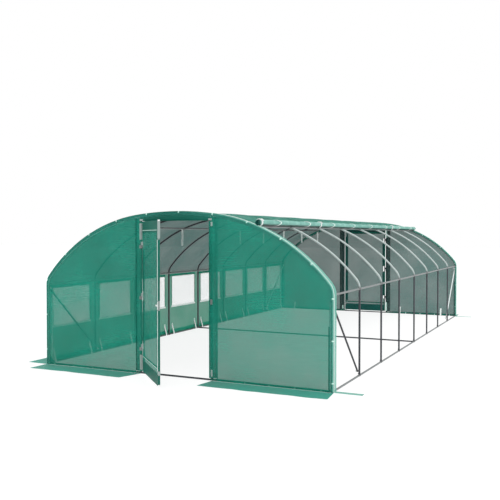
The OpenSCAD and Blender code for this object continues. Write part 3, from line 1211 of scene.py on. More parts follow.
@dataclass
class Skirts(Part):
    """The margins of the cover that lie on the ground outside the walls."""

    width: float = SKIRT_W
    thickness: float = CLOTH_T
    wall: float = 2.0033
    strip: float = 0.08
    post_x: float = 0.5

    def build(self) -> None:
        """Builds the long left skirt and the two at each end."""
        t = self.tunnel
        piece = self._skirt(
            "left_skirt_sheet",
            [t.at(-self.wall, y, 0) for y in steps(-0.014, t.length + 0.014, 0.07)],
            Vector((-1, 0, 0)),
            (0.0, 0.0),
        )
        self.cloth(
            piece,
            (self.width, t.length + 0.028),
            "laid",
            ["main_cover"],
            replaces=("left_skirt",),
            finish=self.finishes.skirt,
        )
        for name, start, end, slants in (
            ("front_left_skirt", -self.wall, -self.post_x, (0.0, -0.10)),
            ("front_right_skirt", self.post_x, self.wall, (-0.02, 0.04)),
        ):
            line = [t.at(x, -0.016, 0) for x in steps(start, end, 0.06)]
            piece = self._skirt(name, line, Vector((0, -1, 0)), slants)
            flat = (self.width, end - start)
            area = min(self.width * (end - start + (slants[1] - slants[0]) / 2), flat[0] * flat[1])
            rear = self.other_end(piece, name.replace("front", "rear"))
            for skirt, wall in ((piece, "front"), (rear, "rear")):
                self.cloth(
                    skirt,
                    flat,
                    "laid",
                    [f"{wall}_wall_sheet"],
                    area,
                    replaces=(f"{wall}_skirts",),
                    finish=self.finishes.skirt,
                )

    def _skirt(
        self, name: str, line: Sequence[Vector], out: Vector, slants: tuple[float, float]
    ) -> bpy.types.Object:
        """Makes one skirt, flat at the wall and rippled towards its free edge.

        Args:
            name: the piece's name.
            line: points along the foot of the wall.
            out: the direction away from the wall.
            slants: how far the free edge is shifted along the wall at its two ends.

        Returns:
            The new piece.
        """
        along = (line[-1] - line[0]).normalized()
        total = (line[-1] - line[0]).length
        rows = []
        for step in steps(0.0, 1.0, 0.1):
            row = []
            for point in line:
                share = (point - line[0]).length / total
                slide = step * (slants[0] * (1 - share) ** 3 + slants[1] * share**3)
                spot = point + out * self.width * step + along * slide
                broad, fine = ripple(spot.x * 3.1, spot.y * 3.1, 7.0), ripple(spot.x * 9, spot.y * 9, 1.0)
                fold = 0.5 + 0.5 * broad + 0.25 * fine
                spot.z = 0.0018 + 0.010 * step**1.3 * max(0.0, fold - 0.25)
                row.append(spot)
            rows.append(row)
        if along.cross(out).z < 0:
            rows.reverse()
        return cloth_mesh(name, [rows], self.thickness, plane=(0, 1))


@dataclass
class CornerStrips(Part):
    """What is left of the right side's cover on each end hoop, down to its own piece of skirt."""

    width: float = 0.08
    thickness: float = CLOTH_T
    rest: float = 0.0160
    skirt: float = SKIRT_W

    def build(self) -> None:
        """Builds the strip at the front, and copies it to the rear as its mirror."""
        t = self.tunnel
        ss = between([t.purlin_s - 0.01, t.side_s], 0.06) + between([t.side_s, t.eave_s], 0.021)[1:]
        ss += between([t.eave_s, t.foot_s - 0.008], 0.06)[1:]
        grid = []
        for y in steps(0.0, self.width, 0.016):
            row = []
            for s in ss:
                edge = y + (0.004 * ripple(s * 3, 0, 5) if y > 0.01 else 0.0)
                spot = t.arch(s, self.rest + 0.0022 * ripple(s * 4, y * 12, 8) * (y / self.width))
                row.append(Vector((spot.x, edge, spot.y)))
            foot = row[-1]
            for reach in steps(0.0, self.skirt, 0.045):
                lift = 0.0018 + 0.009 * (reach / self.skirt) * abs(ripple(reach * 6, y * 5, 3))
                row.append(Vector((foot.x + 0.003 + reach, y, lift)))
            grid.append(row)
        front = [[t.at(*point) for point in row] for row in grid]
        rear = [[t.at(point.x, t.length - point.y, point.z) for point in row] for row in reversed(grid)]
        length = t.foot_s - t.purlin_s + self.skirt
        for name, rows, wall in (
            ("front_corner_strip", front, "front_hoop_sleeve"),
            ("rear_corner_strip", rear, "rear_hoop_sleeve"),
        ):
            piece = cloth_mesh(name, [rows], self.thickness)
            # The strips take the pale copy of the cover, painted light.
            flat, finish = (self.width, length), self.finishes.lit_strip
            self.cloth(piece, flat, "hung", [wall], replaces=("corner_strips",), finish=finish)


@dataclass
class SideRoll(Part):
    """The right side's cover, rolled up along the purlin, with the ties and clips that hold it."""

    outer: float = 0.0352
    inner: float = 0.006
    margin: float = SKIRT_W
    tie_w: float = 0.022
    tie_lead: float = 0.135
    tie_r: float = 0.0372
    tie_span: tuple[float, float] = (12, 226)
    clip_r: float = 0.0395
    clip_bays: tuple[float, ...] = (0.03, 2.0, 6.0)

    def __post_init__(self) -> None:
        """Works out the roll's axis on the hoops outside the purlin."""
        t = self.tunnel
        self.out = Vector((math.sin(t.purlin_angle), math.cos(t.purlin_angle)))
        self.centre = t.arch(t.purlin_s, t.tube_r + 0.0003 + 0.037)

    def build(self) -> None:
        """Builds the roll, its ties and its clips."""
        self._roll()
        self._ties()
        self._clips()

    def _lump(self, y: float, angle: float) -> float:
        """How full the roll is at a place along it and an angle round it."""
        t = self.tunnel
        share = ((y - t.front_y) / t.bay) % 1.0
        around = Vector((math.cos(angle), math.sin(angle)))
        bulge = 0.13 * noise.noise(Vector((around.x * 0.9, around.y * 0.9, y * 5)))
        bulge += 0.08 * noise.noise(Vector((around.x * 2, around.y * 2, y * 13)))
        return 0.945 + bulge - 0.13 * math.exp(-(((share - 0.5) * t.bay / 0.035) ** 2))

    def _roll(self) -> None:
        """Makes the rolled sheet with all its turns."""
        t = self.tunnel
        length = t.foot_s - t.purlin_s + self.margin
        knots = [-0.013]
        for bay in range(t.bays):
            middle = (bay + 0.5) * t.bay
            knots += [middle - 0.05, middle, middle + 0.05]
        knots.append(t.length + 0.013)
        ys = [t.front_y + y for y in between(knots, 0.10)]
        rows = rolled(self.centre, self.out, self.outer, self.inner, length, ys, 18, self._lump)
        piece = cloth_mesh("rolled_side_cover", [rows], 0.0008)
        self.cloth(
            piece,
            (length, t.length + 0.026),
            "folded",
            ["front_hoop", "hoop_4", "rear_hoop"],
            replaces=("side_roll",),
            finish=self.finishes.roll,
        )

    def _ring(self, y: float, start: float, end: float, size: float, lead: float) -> list[Vector]:
        """Points of a band round the roll, led along the tunnel where it is furthest out.

        Args:
            y: the band's place behind the front hoop.
            start: its first angle in degrees, from where the roll touches the hoops.
            end: its last angle.
            size: its radius.
            lead: how far its middle is ahead of its ends.

        Returns:
            The points.
        """
        t = self.tunnel
        down = Vector((self.out.y, -self.out.x))
        points = []
        for angle in steps(math.radians(start), math.radians(end), 0.22):
            share = (math.degrees(angle) - start) / (end - start)
            way = math.sin(angle) * down - math.cos(angle) * self.out
            ahead = lead * (1 - abs(2 * share - 1))
            points.append(t.at(self.centre.x + size * way.x, y + ahead, self.centre.y + size * way.y))
        return points

    def _ties(self) -> None:
        """Makes the ties, each a loop of webbing drawn to a point on the outside of the roll."""
        t = self.tunnel
        starts = [(bay + 0.5) * t.bay - 0.04 for bay in range(t.bays)]
        paths = [self._ring(y, *self.tie_span, self.tie_r, self.tie_lead) for y in starts]
        piece = self.straps("roll_tie_straps", paths, Vector((0, 1, 0)), self.tie_w)
        self.keep(piece, self.finishes.webbing, "webbing", replaces=("roll_ties",))

    def _clips(self) -> None:
        """Makes the moulded clips that hold the roll to its hoops."""
        t = self.tunnel
        bpy.ops.mesh.primitive_torus_add(
            major_radius=self.clip_r,
            minor_radius=0.0052,
            major_segments=36,
            minor_segments=10,
            rotation=(math.pi / 2, 0, 0),
        )
        clip = settle(bpy.context.object)
        with editing(clip, lambda normal, centre: True):
            bpy.ops.transform.resize(value=(1, 3.6, 1))
            bpy.ops.mesh.bisect(plane_co=(0, 0, -0.024), plane_no=(0, 0, 1), clear_inner=True, use_fill=True)
        apply_modifier(clip, "BEVEL", width=0.0012, segments=2, limit_method="ANGLE")
        bpy.ops.mesh.primitive_cube_add(size=1, location=(0.012, 0, 0.046), scale=(0.034, 0.030, 0.011))
        lug = settle(bpy.context.object)
        with editing(lug, lambda normal, centre: normal.z > 0.9):
            bpy.ops.mesh.inset(thickness=0.004)
            bpy.ops.mesh.extrude_region_move(TRANSFORM_OT_translate={"value": (0, 0, -0.003)})
        apply_modifier(lug, "BEVEL", width=0.0014, segments=2)
        clear_selection()
        for part in (clip, lug):
            part.select_set(True)
        bpy.context.view_layer.objects.active = clip
        bpy.ops.object.join()
        smooth(clip)
        places = []
        for bay in self.clip_bays:
            spot = t.at(self.centre.x, bay * t.bay, self.centre.y)
            places.append(Matrix.Translation(spot) @ Matrix.Rotation(t.purlin_angle + 0.25, 4, "Y"))
        self.keep(scatter(clip, places, "roll_clips"), self.finishes.plastic, "fittings")


@dataclass
class EndWalls(Part):
    """The two end walls: their sheets, the pockets round the door posts, the hems and the tie loops."""

    thickness: float = CLOTH_T
    face: float = 0.0152
    post_z: tuple[float, float] = (0.03, 1.925)
    latch_pocket: tuple[float, float] = (0.4565, 0.574)
    hinge_pocket: tuple[float, float] = (-0.582, -0.4815)
    header: tuple[float, float] = (1.888, 1.955)
    hem: float = 0.034

    def build(self) -> None:
        """Builds the front wall and copies each of its pieces to the rear."""
        self._sheets()
        self._pocket("latch_post_pocket", self.latch_pocket, 0.5)
        self._pocket("hinge_post_pocket", self.hinge_pocket, -0.5)
        self._header()
        self._edge_hem()
        self._piping()
        self._base_sleeves()
        self._loops()

    def _ends(self, piece: bpy.types.Object) -> list[tuple[bpy.types.Object, str]]:
        """A front piece and its rear copy, each with the name of its end."""
        return [(piece, "front"), (self.other_end(piece, piece.name.replace("front", "rear")), "rear")]

    def _sheets(self) -> None:
        """Makes the panel on each side of the doorway."""
        t = self.tunnel
        grids, area = [], 0.0
        for start, side in ((self.latch_pocket[1] - 0.012, 1), (-self.hinge_pocket[0] - 0.012, -1)):
            xs = steps(start, 1.80, 0.055) + [
                1.83, 1.86, 1.89, 1.915, 1.94, 1.96, 1.975, t.leg_x - 0.003, t.leg_x + 0.001
            ]
            tops = [t.roof_z(x, 0.001) for x in xs]
            area += sum((b - a) * (h + k) / 2 for a, b, h, k in zip(xs, xs[1:], tops, tops[1:]))
            rows = []
            for share in steps(0.0, 1.0, 0.032):
                row = []
                for x, top in zip(xs, tops):
                    z = 0.003 + (top - 0.003) * share
                    slack = math.sin(math.pi * share) * math.sin(math.pi * (x - xs[0]) / (xs[-1] - xs[0]))
                    fold = ripple(x * 1.7, z * 2.2, 11.0 * side) + 0.4 * ripple(x * 6, z * 3, 5.0)
                    head = 1 - min(1.0, (top - z) / 0.05)
                    edge = 0.0010 * head + 0.0010 * max(0.0, 1 - (xs[-1] - x) / 0.05)
                    row.append(t.at(side * x, -self.face - edge + 0.004 * slack * fold, z))
                rows.append(row if side > 0 else row[::-1])
            grids.append(rows)
        piece = cloth_mesh("front_wall_sheet", grids, self.thickness, plane=(0, 2))
        width, height = 2 * t.leg_x, t.roof_z(0)
        for wall, end in self._ends(piece):
            carriers = [f"{end}_hoop", f"{end}_doorway"]
            self.cloth(wall, (width, height), "stretched", carriers, area, replaces=(f"{end}_wall",))

    def _pocket(self, name: str, span: tuple[float, float], post: float) -> None:
        """Makes the loose doubled pocket that goes round a door post.

        Args:
            name: what the pocket is called.
            span: its edges across the tunnel.
            post: the post's place.
        """
        t = self.tunnel
        middle, half = sum(span) / 2, (span[1] - span[0]) / 2
        rows = []
        for z in steps(*self.post_z, 0.05):
            row = []
            for k in range(29):
                angle = 2 * math.pi * (k % 28) / 28
                wide = math.copysign(abs(math.cos(angle)) ** 0.75, math.cos(angle))
                x = middle + half * wide * (1 - 0.012 * ripple(z * 5, 0, post))
                full = 0.28 + 0.72 * math.exp(-(((x - post) / 0.036) ** 2))
                depth = 0.0158 * full * math.sin(angle)
                depth += 0.0010 * ripple(x * 30, z * 4, post) * (1 - full)
                row.append(t.at(x, depth - 0.0004, z))
            rows.append(row)
        piece = cloth_mesh(f"front_{name}", [rows], 0.0010)
        flat = (4 * half, self.post_z[1] - self.post_z[0])
        for pocket, end in self._ends(piece):
            self.cloth(pocket, flat, "hung", [f"{end}_doorway"], finish=self.finishes.pocket)

    def _header(self) -> None:
        """Makes the doubled panel above the doorway, wrapped under the header tube."""
        t = self.tunnel
        xs = steps(self.hinge_pocket[1] - 0.02, self.latch_pocket[0] + 0.02, 0.06)
        rows = []
        profile = [
            (0.0128, 1.905),
            (0.0128, 1.893),
            (0.004, 1.8868),
            (-0.006, 1.8872),
            (-0.0128, 1.893),
            (-0.0145, 1.91)
        ]
        for y, z in profile:
            rows.append([t.at(x, y, z) for x in xs])
        for share in steps(0.0, 1.0, 0.25)[1:]:
            row = []
            for x in xs:
                top = t.roof_z(x, 0.001)
                z = 1.91 + (top - 1.91) * share
                y = -0.0145 - 0.0016 * share + 0.0012 * ripple(x * 6, z * 6, 2) * (1 - share)
                row.append(t.at(x, y, z))
            rows.append(row)
        piece = cloth_mesh("front_header_band", [rows], 0.0014)
        flat = (xs[-1] - xs[0], 0.15)
        for band, end in self._ends(piece):
            self.cloth(band, flat, "hung", [f"{end}_doorway", f"{end}_hoop"], finish=self.finishes.double)

    def _edge_hem(self) -> None:
        """Makes the hem inside the hoop, and the upright seam beside each leg."""
        t = self.tunnel
        grid = []
        for s in steps(-(t.foot_s - 0.004), t.foot_s - 0.004, 0.05):
            row = []
            for out in (0.003, -0.015, -self.hem):
                spot = t.arch(s, out)
                row.append(t.at(spot.x, -0.0172 - 0.0003 * ripple(s * 8, out * 30, 3), spot.y))
            grid.append(row)
        seams = []
        for side in (-1, 1):
            xs = [side * (t.leg_x - 0.043), side * (t.leg_x - 0.027)]
            seams.append([[t.at(x, -0.0168, z) for x in sorted(xs)] for z in steps(0.03, 0.72, 0.07)])
        piece = cloth_mesh("front_edge_hem", [grid], 0.0009)
        flat = (self.hem + 0.003, 2 * t.foot_s)
        for hem, end in self._ends(piece):
            self.cloth(hem, flat, "stretched", [f"{end}_wall_sheet"], finish=self.finishes.hem)
        seam = cloth_mesh("front_corner_seams", seams, 0.0009)
        for piece, end in self._ends(seam):
            self.cloth(piece, (0.032, 0.69), "stretched", [f"{end}_wall_sheet"], finish=self.finishes.double)

    def _piping(self) -> None:
        """Makes the fine piping at each end hoop: pale outside its right half, green inside its left half."""
        t = self.tunnel
        spans = [
            ("outer", self.finishes.piping, 0.1, t.foot_s - 0.01, 0.0176, -0.0060, 0.0026),
            ("inner", self.finishes.seam, -(t.foot_s - 0.01), -0.75, -self.hem, -0.0186, 0.0022),
        ]
        for end in ("front", "rear"):
            for kind, finish, start, stop, out, y, size in spans:
                path = []
                for s in steps(start, stop, 0.05):
                    spot = t.arch(s, out)
                    behind = y if end == "front" else t.length - y - 0.018 * (out > 0)
                    path.append(t.at(spot.x, behind, spot.y))
                piece = cloth_mesh(f"{end}_{kind}_piping", [rings(path, lambda far, angle: size, 6)], 0.0008)
                self.keep(piece, finish, "webbing")

    def _base_sleeves(self) -> None:
        """Makes the sleeves in which the foot of each panel holds its ground bar."""
        t = self.tunnel
        grids = []
        spans = (
            (-(t.leg_x - 0.02), self.hinge_pocket[1] - 0.02),
            (self.latch_pocket[0] + 0.02, t.leg_x - 0.02),
        )
        for start, end in spans:
            path = [t.at(x, -0.0006, 0.0135) for x in steps(start, end, 0.06)]
            grids.append(rings(path, wavy(0.0130, 0.0005, 8, 6), 12))
        piece = cloth_mesh("front_base_sleeves", grids, 0.0010)
        flat = (2 * math.pi * 0.013, 2 * (t.leg_x - 0.5))
        for sleeves, end in self._ends(piece):
            self.cloth(sleeves, flat, "stretched", ["ground_bars"], finish=self.finishes.double)

    def _loops(self) -> None:
        """Makes the small webbing loops sewn along the end hoop and the ground bar."""
        t = self.tunnel
        grids = []
        for number in range(-7, 8):
            s = number * 0.46 + 0.05
            spots = [t.arch(s + d) for d in (-0.008, 0.0, 0.008)]
            path = [t.at(spot.x, 0.0, spot.y) for spot in spots]
            grids.append(rings(path, lambda far, angle: 0.0182, 14))
        for number in range(-6, 7):
            x = number * 0.31
            if abs(x) > 0.62:
                path = [t.at(x + d, -0.0006, 0.0148) for d in (-0.007, 0.0, 0.007)]
                grids.append(rings(path, lambda far, angle: 0.0146, 12))
        piece = cloth_mesh("front_tie_loops", grids, 0.0014)
        for loops, _ in self._ends(piece):
            self.keep(loops, self.finishes.tape, "webbing")


@dataclass
class Straps(Part):
    """The webbing inside the tunnel: beside the left purlin, along the walls and at the door posts."""

    width: float = 0.032
    wall_z: float = 0.165
    beside_leg: float = 0.12
    wrap_r: float = 0.0185

    def build(self) -> None:
        """Builds all the straps."""
        self._hanging()
        self._wall()
        self._rear_wall()
        self._post_wraps()

    def _hanging(self) -> None:
        """Makes a strap with two tails over every hoop but the front one, beside the left purlin."""
        t = self.tunnel
        low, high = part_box("hanging_straps")
        x = (low.x + high.x) / 2
        s = -(t.crown_s + t.side_r * (math.asin((-x - t.side_c.x) / t.side_r) - t.crown_angle))
        axis, slope, size = t.arch(s), t.slope(s), t.tube_r + 0.0007
        out = Vector((math.sin(slope), 0, math.cos(slope)))
        paths = []
        for hoop in range(1, t.bays + 1):
            centre = t.at(axis.x, hoop * t.bay, axis.y)
            ways = [math.sin(a) * Vector((0, 1, 0)) + math.cos(a) * out for a in steps(-2.2, 2.2, 0.3)]
            loop = [centre + size * way for way in ways]
            knot = Vector((centre.x, centre.y, centre.z - t.tube_r - 0.012))
            short = [knot + Vector((0, -0.0022 - 0.004 * step, -0.05 * step)) for step in (1.0, 0.5, 0.0)]
            tail = []
            for step in steps(0.0, 1.0, 0.12):
                sway = 0.008 * math.sin(step * 3.4 + hoop) * step
                drop = (low.z + 0.004 - knot.z) * step
                tail.append(knot + Vector((0.004 * math.sin(hoop) * step, 0.0012 + sway, drop)))
            paths.append(short + loop + tail)
        piece = self.straps("hoop_straps", paths, Vector((1, 0, 0)), 0.030)
        self.keep(piece, self.finishes.webbing, "webbing", replaces=("hanging_straps",))

    def _wall(self) -> None:
        """Makes the straps that draw the left wall down to its base rail beside each leg."""
        t = self.tunnel
        inside = -(t.leg_x + t.tube_r) + 0.0006
        paths, pads = [], []
        bends = ((0.010, 0.125), (0.024, 0.080), (0.036, 0.035), (0.038, 0.012), (0.030, 0.0035))
        for bay in range(t.bays):
            for y in (bay * t.bay + self.beside_leg, (bay + 1) * t.bay - self.beside_leg):
                path = [t.at(inside, y, z) for z in (self.wall_z + 0.03, self.wall_z)]
                for lean, z in bends:
                    path.append(t.at(inside + lean, y, z))
                path.append(t.at(-t.leg_x + 0.012, y, 0.0025))
                paths.append(path)
                pads.append([t.at(inside + 0.0018, y, z) for z in (self.wall_z + 0.028, self.wall_z - 0.004)])
        piece = self.straps("left_wall_straps", paths, Vector((0, 1, 0)), self.width)
        self.keep(piece, self.finishes.webbing, "webbing", replaces=("wall_straps",))
        piece = self.straps("left_wall_strap_pads", pads, Vector((0, 1, 0)), self.width)
        self.keep(piece, self.finishes.tape, "webbing")

    def _rear_wall(self) -> None:
        """Makes the straps that draw the rear wall down to its ground bar."""
        t = self.tunnel
        paths = []
        for x, top in ((0.80, 0.15), (1.677, 0.15), (-0.80, 0.15), (-1.677, 0.15)):
            path = [t.at(x, t.length + 0.0125, top), t.at(x, t.length + 0.0115, top * 0.8)]
            path += [
                t.at(x, t.length - 0.010, top * 0.45),
                t.at(x, t.length - 0.0150, 0.022),
                t.at(x, t.length - 0.009, 0.004)
            ]
            paths.append(path)
        piece = self.straps("rear_wall_straps", paths, Vector((1, 0, 0)), self.width)
        self.keep(piece, self.finishes.webbing, "webbing")

    def _post_wraps(self) -> None:
        """Makes the wraps at the top and foot of each post, grey in front and pale behind."""
        t = self.tunnel
        grids = []
        for x, spans in (
            (-t.post_x, ((0.05, 0.235), (1.66, 1.86))),
            (t.post_x, ((0.05, 0.13), (1.82, 1.87))),
        ):
            for low, high in spans:
                path = [t.at(x, 0.0, z) for z in steps(low, high, 0.03)]
                grids.append(rings(path, wavy(self.wrap_r, 0.0012, 18, 4), 16))
        piece = cloth_mesh("front_post_wraps", grids, 0.0014)
        rear = self.other_end(piece, "rear_post_wraps")
        self.keep(piece, self.finishes.wrap, "webbing")
        self.keep(rear, self.finishes.tape, "webbing")


@dataclass
class Door(Part):
    """One door: the cover stretched on its frame, its pockets and its fittings."""

    end: str = "front"
    stand: float = 45.0
    hinge_x: float = -0.4785
    hinge_y: float = -0.0231
    left: float = -0.4635
    right: float = 0.4365
    low: float = 0.041
    high: float = 1.880
    stile: float = 0.4365
    hinge_stile: float = -0.4585
    free_spans: tuple[tuple[float, float], ...] = ((0.20, 0.875), (0.985, 1.665))
    pocket_r: float = 0.0128
    rail_pocket: float = 0.86
    free_pocket: float = 1.455
    low_rail: float = 0.22
    top_rail: float = 1.775
    hinge_zs: tuple[float, ...] = (0.33, 0.9605, 1.591)

    def __post_init__(self) -> None:
        """Works out the body and the move from the closed place in the front doorway."""
        t = self.tunnel
        self.body = f"{self.end}_door"
        hinge = t.at(self.hinge_x, self.hinge_y, 0)
        turn = Matrix.Rotation(-math.radians(self.stand), 4, "Z")
        swing = Matrix.Translation(hinge) @ turn @ Matrix.Translation(-hinge)
        self.place = swing if self.end == "front" else t.turned()

    def build(self) -> None:
        """Builds the door's cloth and fittings."""
        self._sheet()
        self._bands()
        self._stile_pockets()
        self._wraps()
        self._corner_caps()

    def _hang(self, piece: bpy.types.Object) -> bpy.types.Object:
        """Moves a piece from the closed place in the front doorway to the door's own place."""
        piece.data.transform(self.place)
        return piece

    def _face(self, x: float, z: float, lift: float = 0.0) -> Vector:
        """A point on the outside of the door's cover."""
        share = (x - self.left) / (self.right - self.left)
        loose = math.sin(math.pi * min(1.0, max(0.0, share)))
        if z >= self.top_rail:
            loose = 0.0
        elif z > self.low_rail:
            loose *= math.sin(math.pi * min(1.0, (z - self.low_rail) / (self.top_rail - self.low_rail)))
        fold = ripple(x * 2.6, z * 1.4, 6.0) + 0.4 * ripple(x * 9, z * 4, 8.0)
        return self.tunnel.at(x, -0.0130 + 0.005 * loose * fold - lift, z)

    def _sheet(self) -> None:
        """Makes the single sheet of the door."""
        xs, zs = steps(self.left + 0.004, self.right, 0.035), steps(self.low - 0.006, self.high, 0.04)

        def cut(i: int, j: int) -> bool:
            z = (zs[i] + zs[i + 1]) / 2
            return j == 0 and any(abs(z - middle - 0.02) < 0.045 for middle in self.hinge_zs)

        rows = [[self._face(x, z) for x in xs] for z in zs]
        piece = cloth_mesh(f"{self.end}_door_cover", [rows], CLOTH_T, cut, plane=(0, 2))
        self.cloth(
            self._hang(piece),
            (self.right - self.left, self.high - self.low + 0.006),
            "stretched",
            [f"{self.end}_door_frame"],
            body=self.body,
            replaces=(f"{self.end}_door_sheet",),
        )

    def _bands(self) -> None:
        """Makes the door's doubled bands: above its upper rail, below its lower rail and along its stiles."""
        grids = []
        spans = [
            ((self.left + 0.006, self.right - 0.002), (self.top_rail - 0.03, self.high - 0.002)),
            ((self.left + 0.006, self.right - 0.002), (self.low - 0.005, 0.175)),
            ((self.left + 0.010, self.left + 0.060), (0.38, 0.90)),
            ((self.left + 0.010, self.left + 0.060), (1.03, 1.53)),
            ((self.right - 0.052, self.right - 0.004), (0.24, self.top_rail - 0.035)),
        ]
        area = 0.0
        for (x0, x1), (z0, z1) in spans:
            area += (x1 - x0) * (z1 - z0)
            grids.append(
                [[self._face(x, z, 0.0014) for x in steps(x0, x1, 0.035)] for z in steps(z0, z1, 0.035)]
            )
        piece = cloth_mesh(f"{self.end}_door_bands", grids, 0.0010, plane=(0, 2))
        self.cloth(
            self._hang(piece),
            (self.right - self.left, area / (self.right - self.left)),
            "stretched",
            [f"{self.end}_door_cover"],
            body=self.body,
            finish=self.finishes.double,
        )
        half = Vector((0, 0, 0.0028))
        grids = []
        for z in (self.low_rail + 0.004, self.top_rail - 0.004):
            line = [self._face(x, z, 0.0034) for x in steps(self.left + 0.02, self.right - 0.03, 0.05)]
            grids.append([[point - half for point in line], [point + half for point in line]])
        tapes = cloth_mesh(f"{self.end}_door_tapes", grids, 0.0010, plane=(0, 2))
        self.keep(self._hang(tapes), self.finishes.tape, "webbing", self.body)

    def _stile_pockets(self) -> None:
        """Makes the pockets that hold the cover on the stiles and on the two cross rails."""
        t, grids = self.tunnel, []
        spans = ((0.055, 0.275), (0.39, 0.905), (1.025, 1.535), (1.66, 1.865))
        for low, high in spans:
            path = [t.at(self.hinge_stile, 0.0, z) for z in steps(low, high, 0.04)]
            grids.append(rings(path, wavy(self.pocket_r, 0.0006, 9, 4), 12))
        for low, high in ((0.050, 0.150), *self.free_spans):
            path = [t.at(self.stile, 0.0, z) for z in steps(low, high, 0.04)]
            grids.append(rings(path, wavy(self.pocket_r, 0.0006, 9, 2), 12))
        for z in (self.low_rail, self.top_rail):
            path = [t.at(x, 0.0, z) for x in steps(self.hinge_stile + 0.016, self.stile - 0.016, 0.05)]
            grids.append(rings(path, wavy(0.0106, 0.0005, 9, 5), 12))
        length = sum(high - low for low, high in spans) + 2 * self.rail_pocket + self.free_pocket
        piece = cloth_mesh(f"{self.end}_door_pockets", grids, 0.0010)
        self.cloth(
            self._hang(piece),
            (2 * math.pi * 0.0125, length),
            "stretched",
            [f"{self.end}_door_frame"],
            body=self.body,
            finish=self.finishes.double,
        )
        lines = []
        for low, high in self.free_spans:
            path = [t.at(self.stile - 0.004, -0.0150, z) for z in steps(low, high, 0.05)]
            lines.append(rings(path, lambda far, angle: 0.0030, 6))
        piping = cloth_mesh(f"{self.end}_door_piping", lines, 0.0008)
        self.keep(self._hang(piping), self.finishes.piping, "webbing", self.body)

    def _wraps(self) -> None:
        """Makes the grey wraps at the top and foot of the free stile."""
        t, grids = self.tunnel, []
        for low, high in ((0.160, 0.195), (1.68, 1.868)):
            path = [t.at(self.stile, 0.0, z) for z in steps(low, high, 0.03)]
            grids.append(rings(path, wavy(0.0158, 0.0010, 18, 4), 14))
        piece = cloth_mesh(f"{self.end}_door_wraps", grids, CLOTH_T)
        self.keep(self._hang(piece), self.finishes.wrap, "webbing", self.body)

    def _corner_caps(self) -> None:
        """Makes the moulded caps on the ends of the two stiles."""
        bpy.ops.mesh.primitive_cylinder_add(vertices=24, radius=0.0132, depth=0.014)
        cap = bpy.context.object
        with editing(cap, lambda normal, centre: abs(normal.z) > 0.9):
            bpy.ops.mesh.inset(thickness=0.0035)
            bpy.ops.transform.resize(value=(1, 1, 1.25))
        apply_modifier(cap, "BEVEL", width=0.0012, segments=2)
        smooth(cap)
        places = [
            Matrix.Translation(self.tunnel.at(x, 0.0, z))
            for x in (self.hinge_stile, self.stile)
            for z in (self.low - 0.002, self.high - 0.003)
        ]
        piece = scatter(cap, places, f"{self.end}_door_caps")
        self.keep(self._hang(piece), self.finishes.plastic, "fittings", self.body)


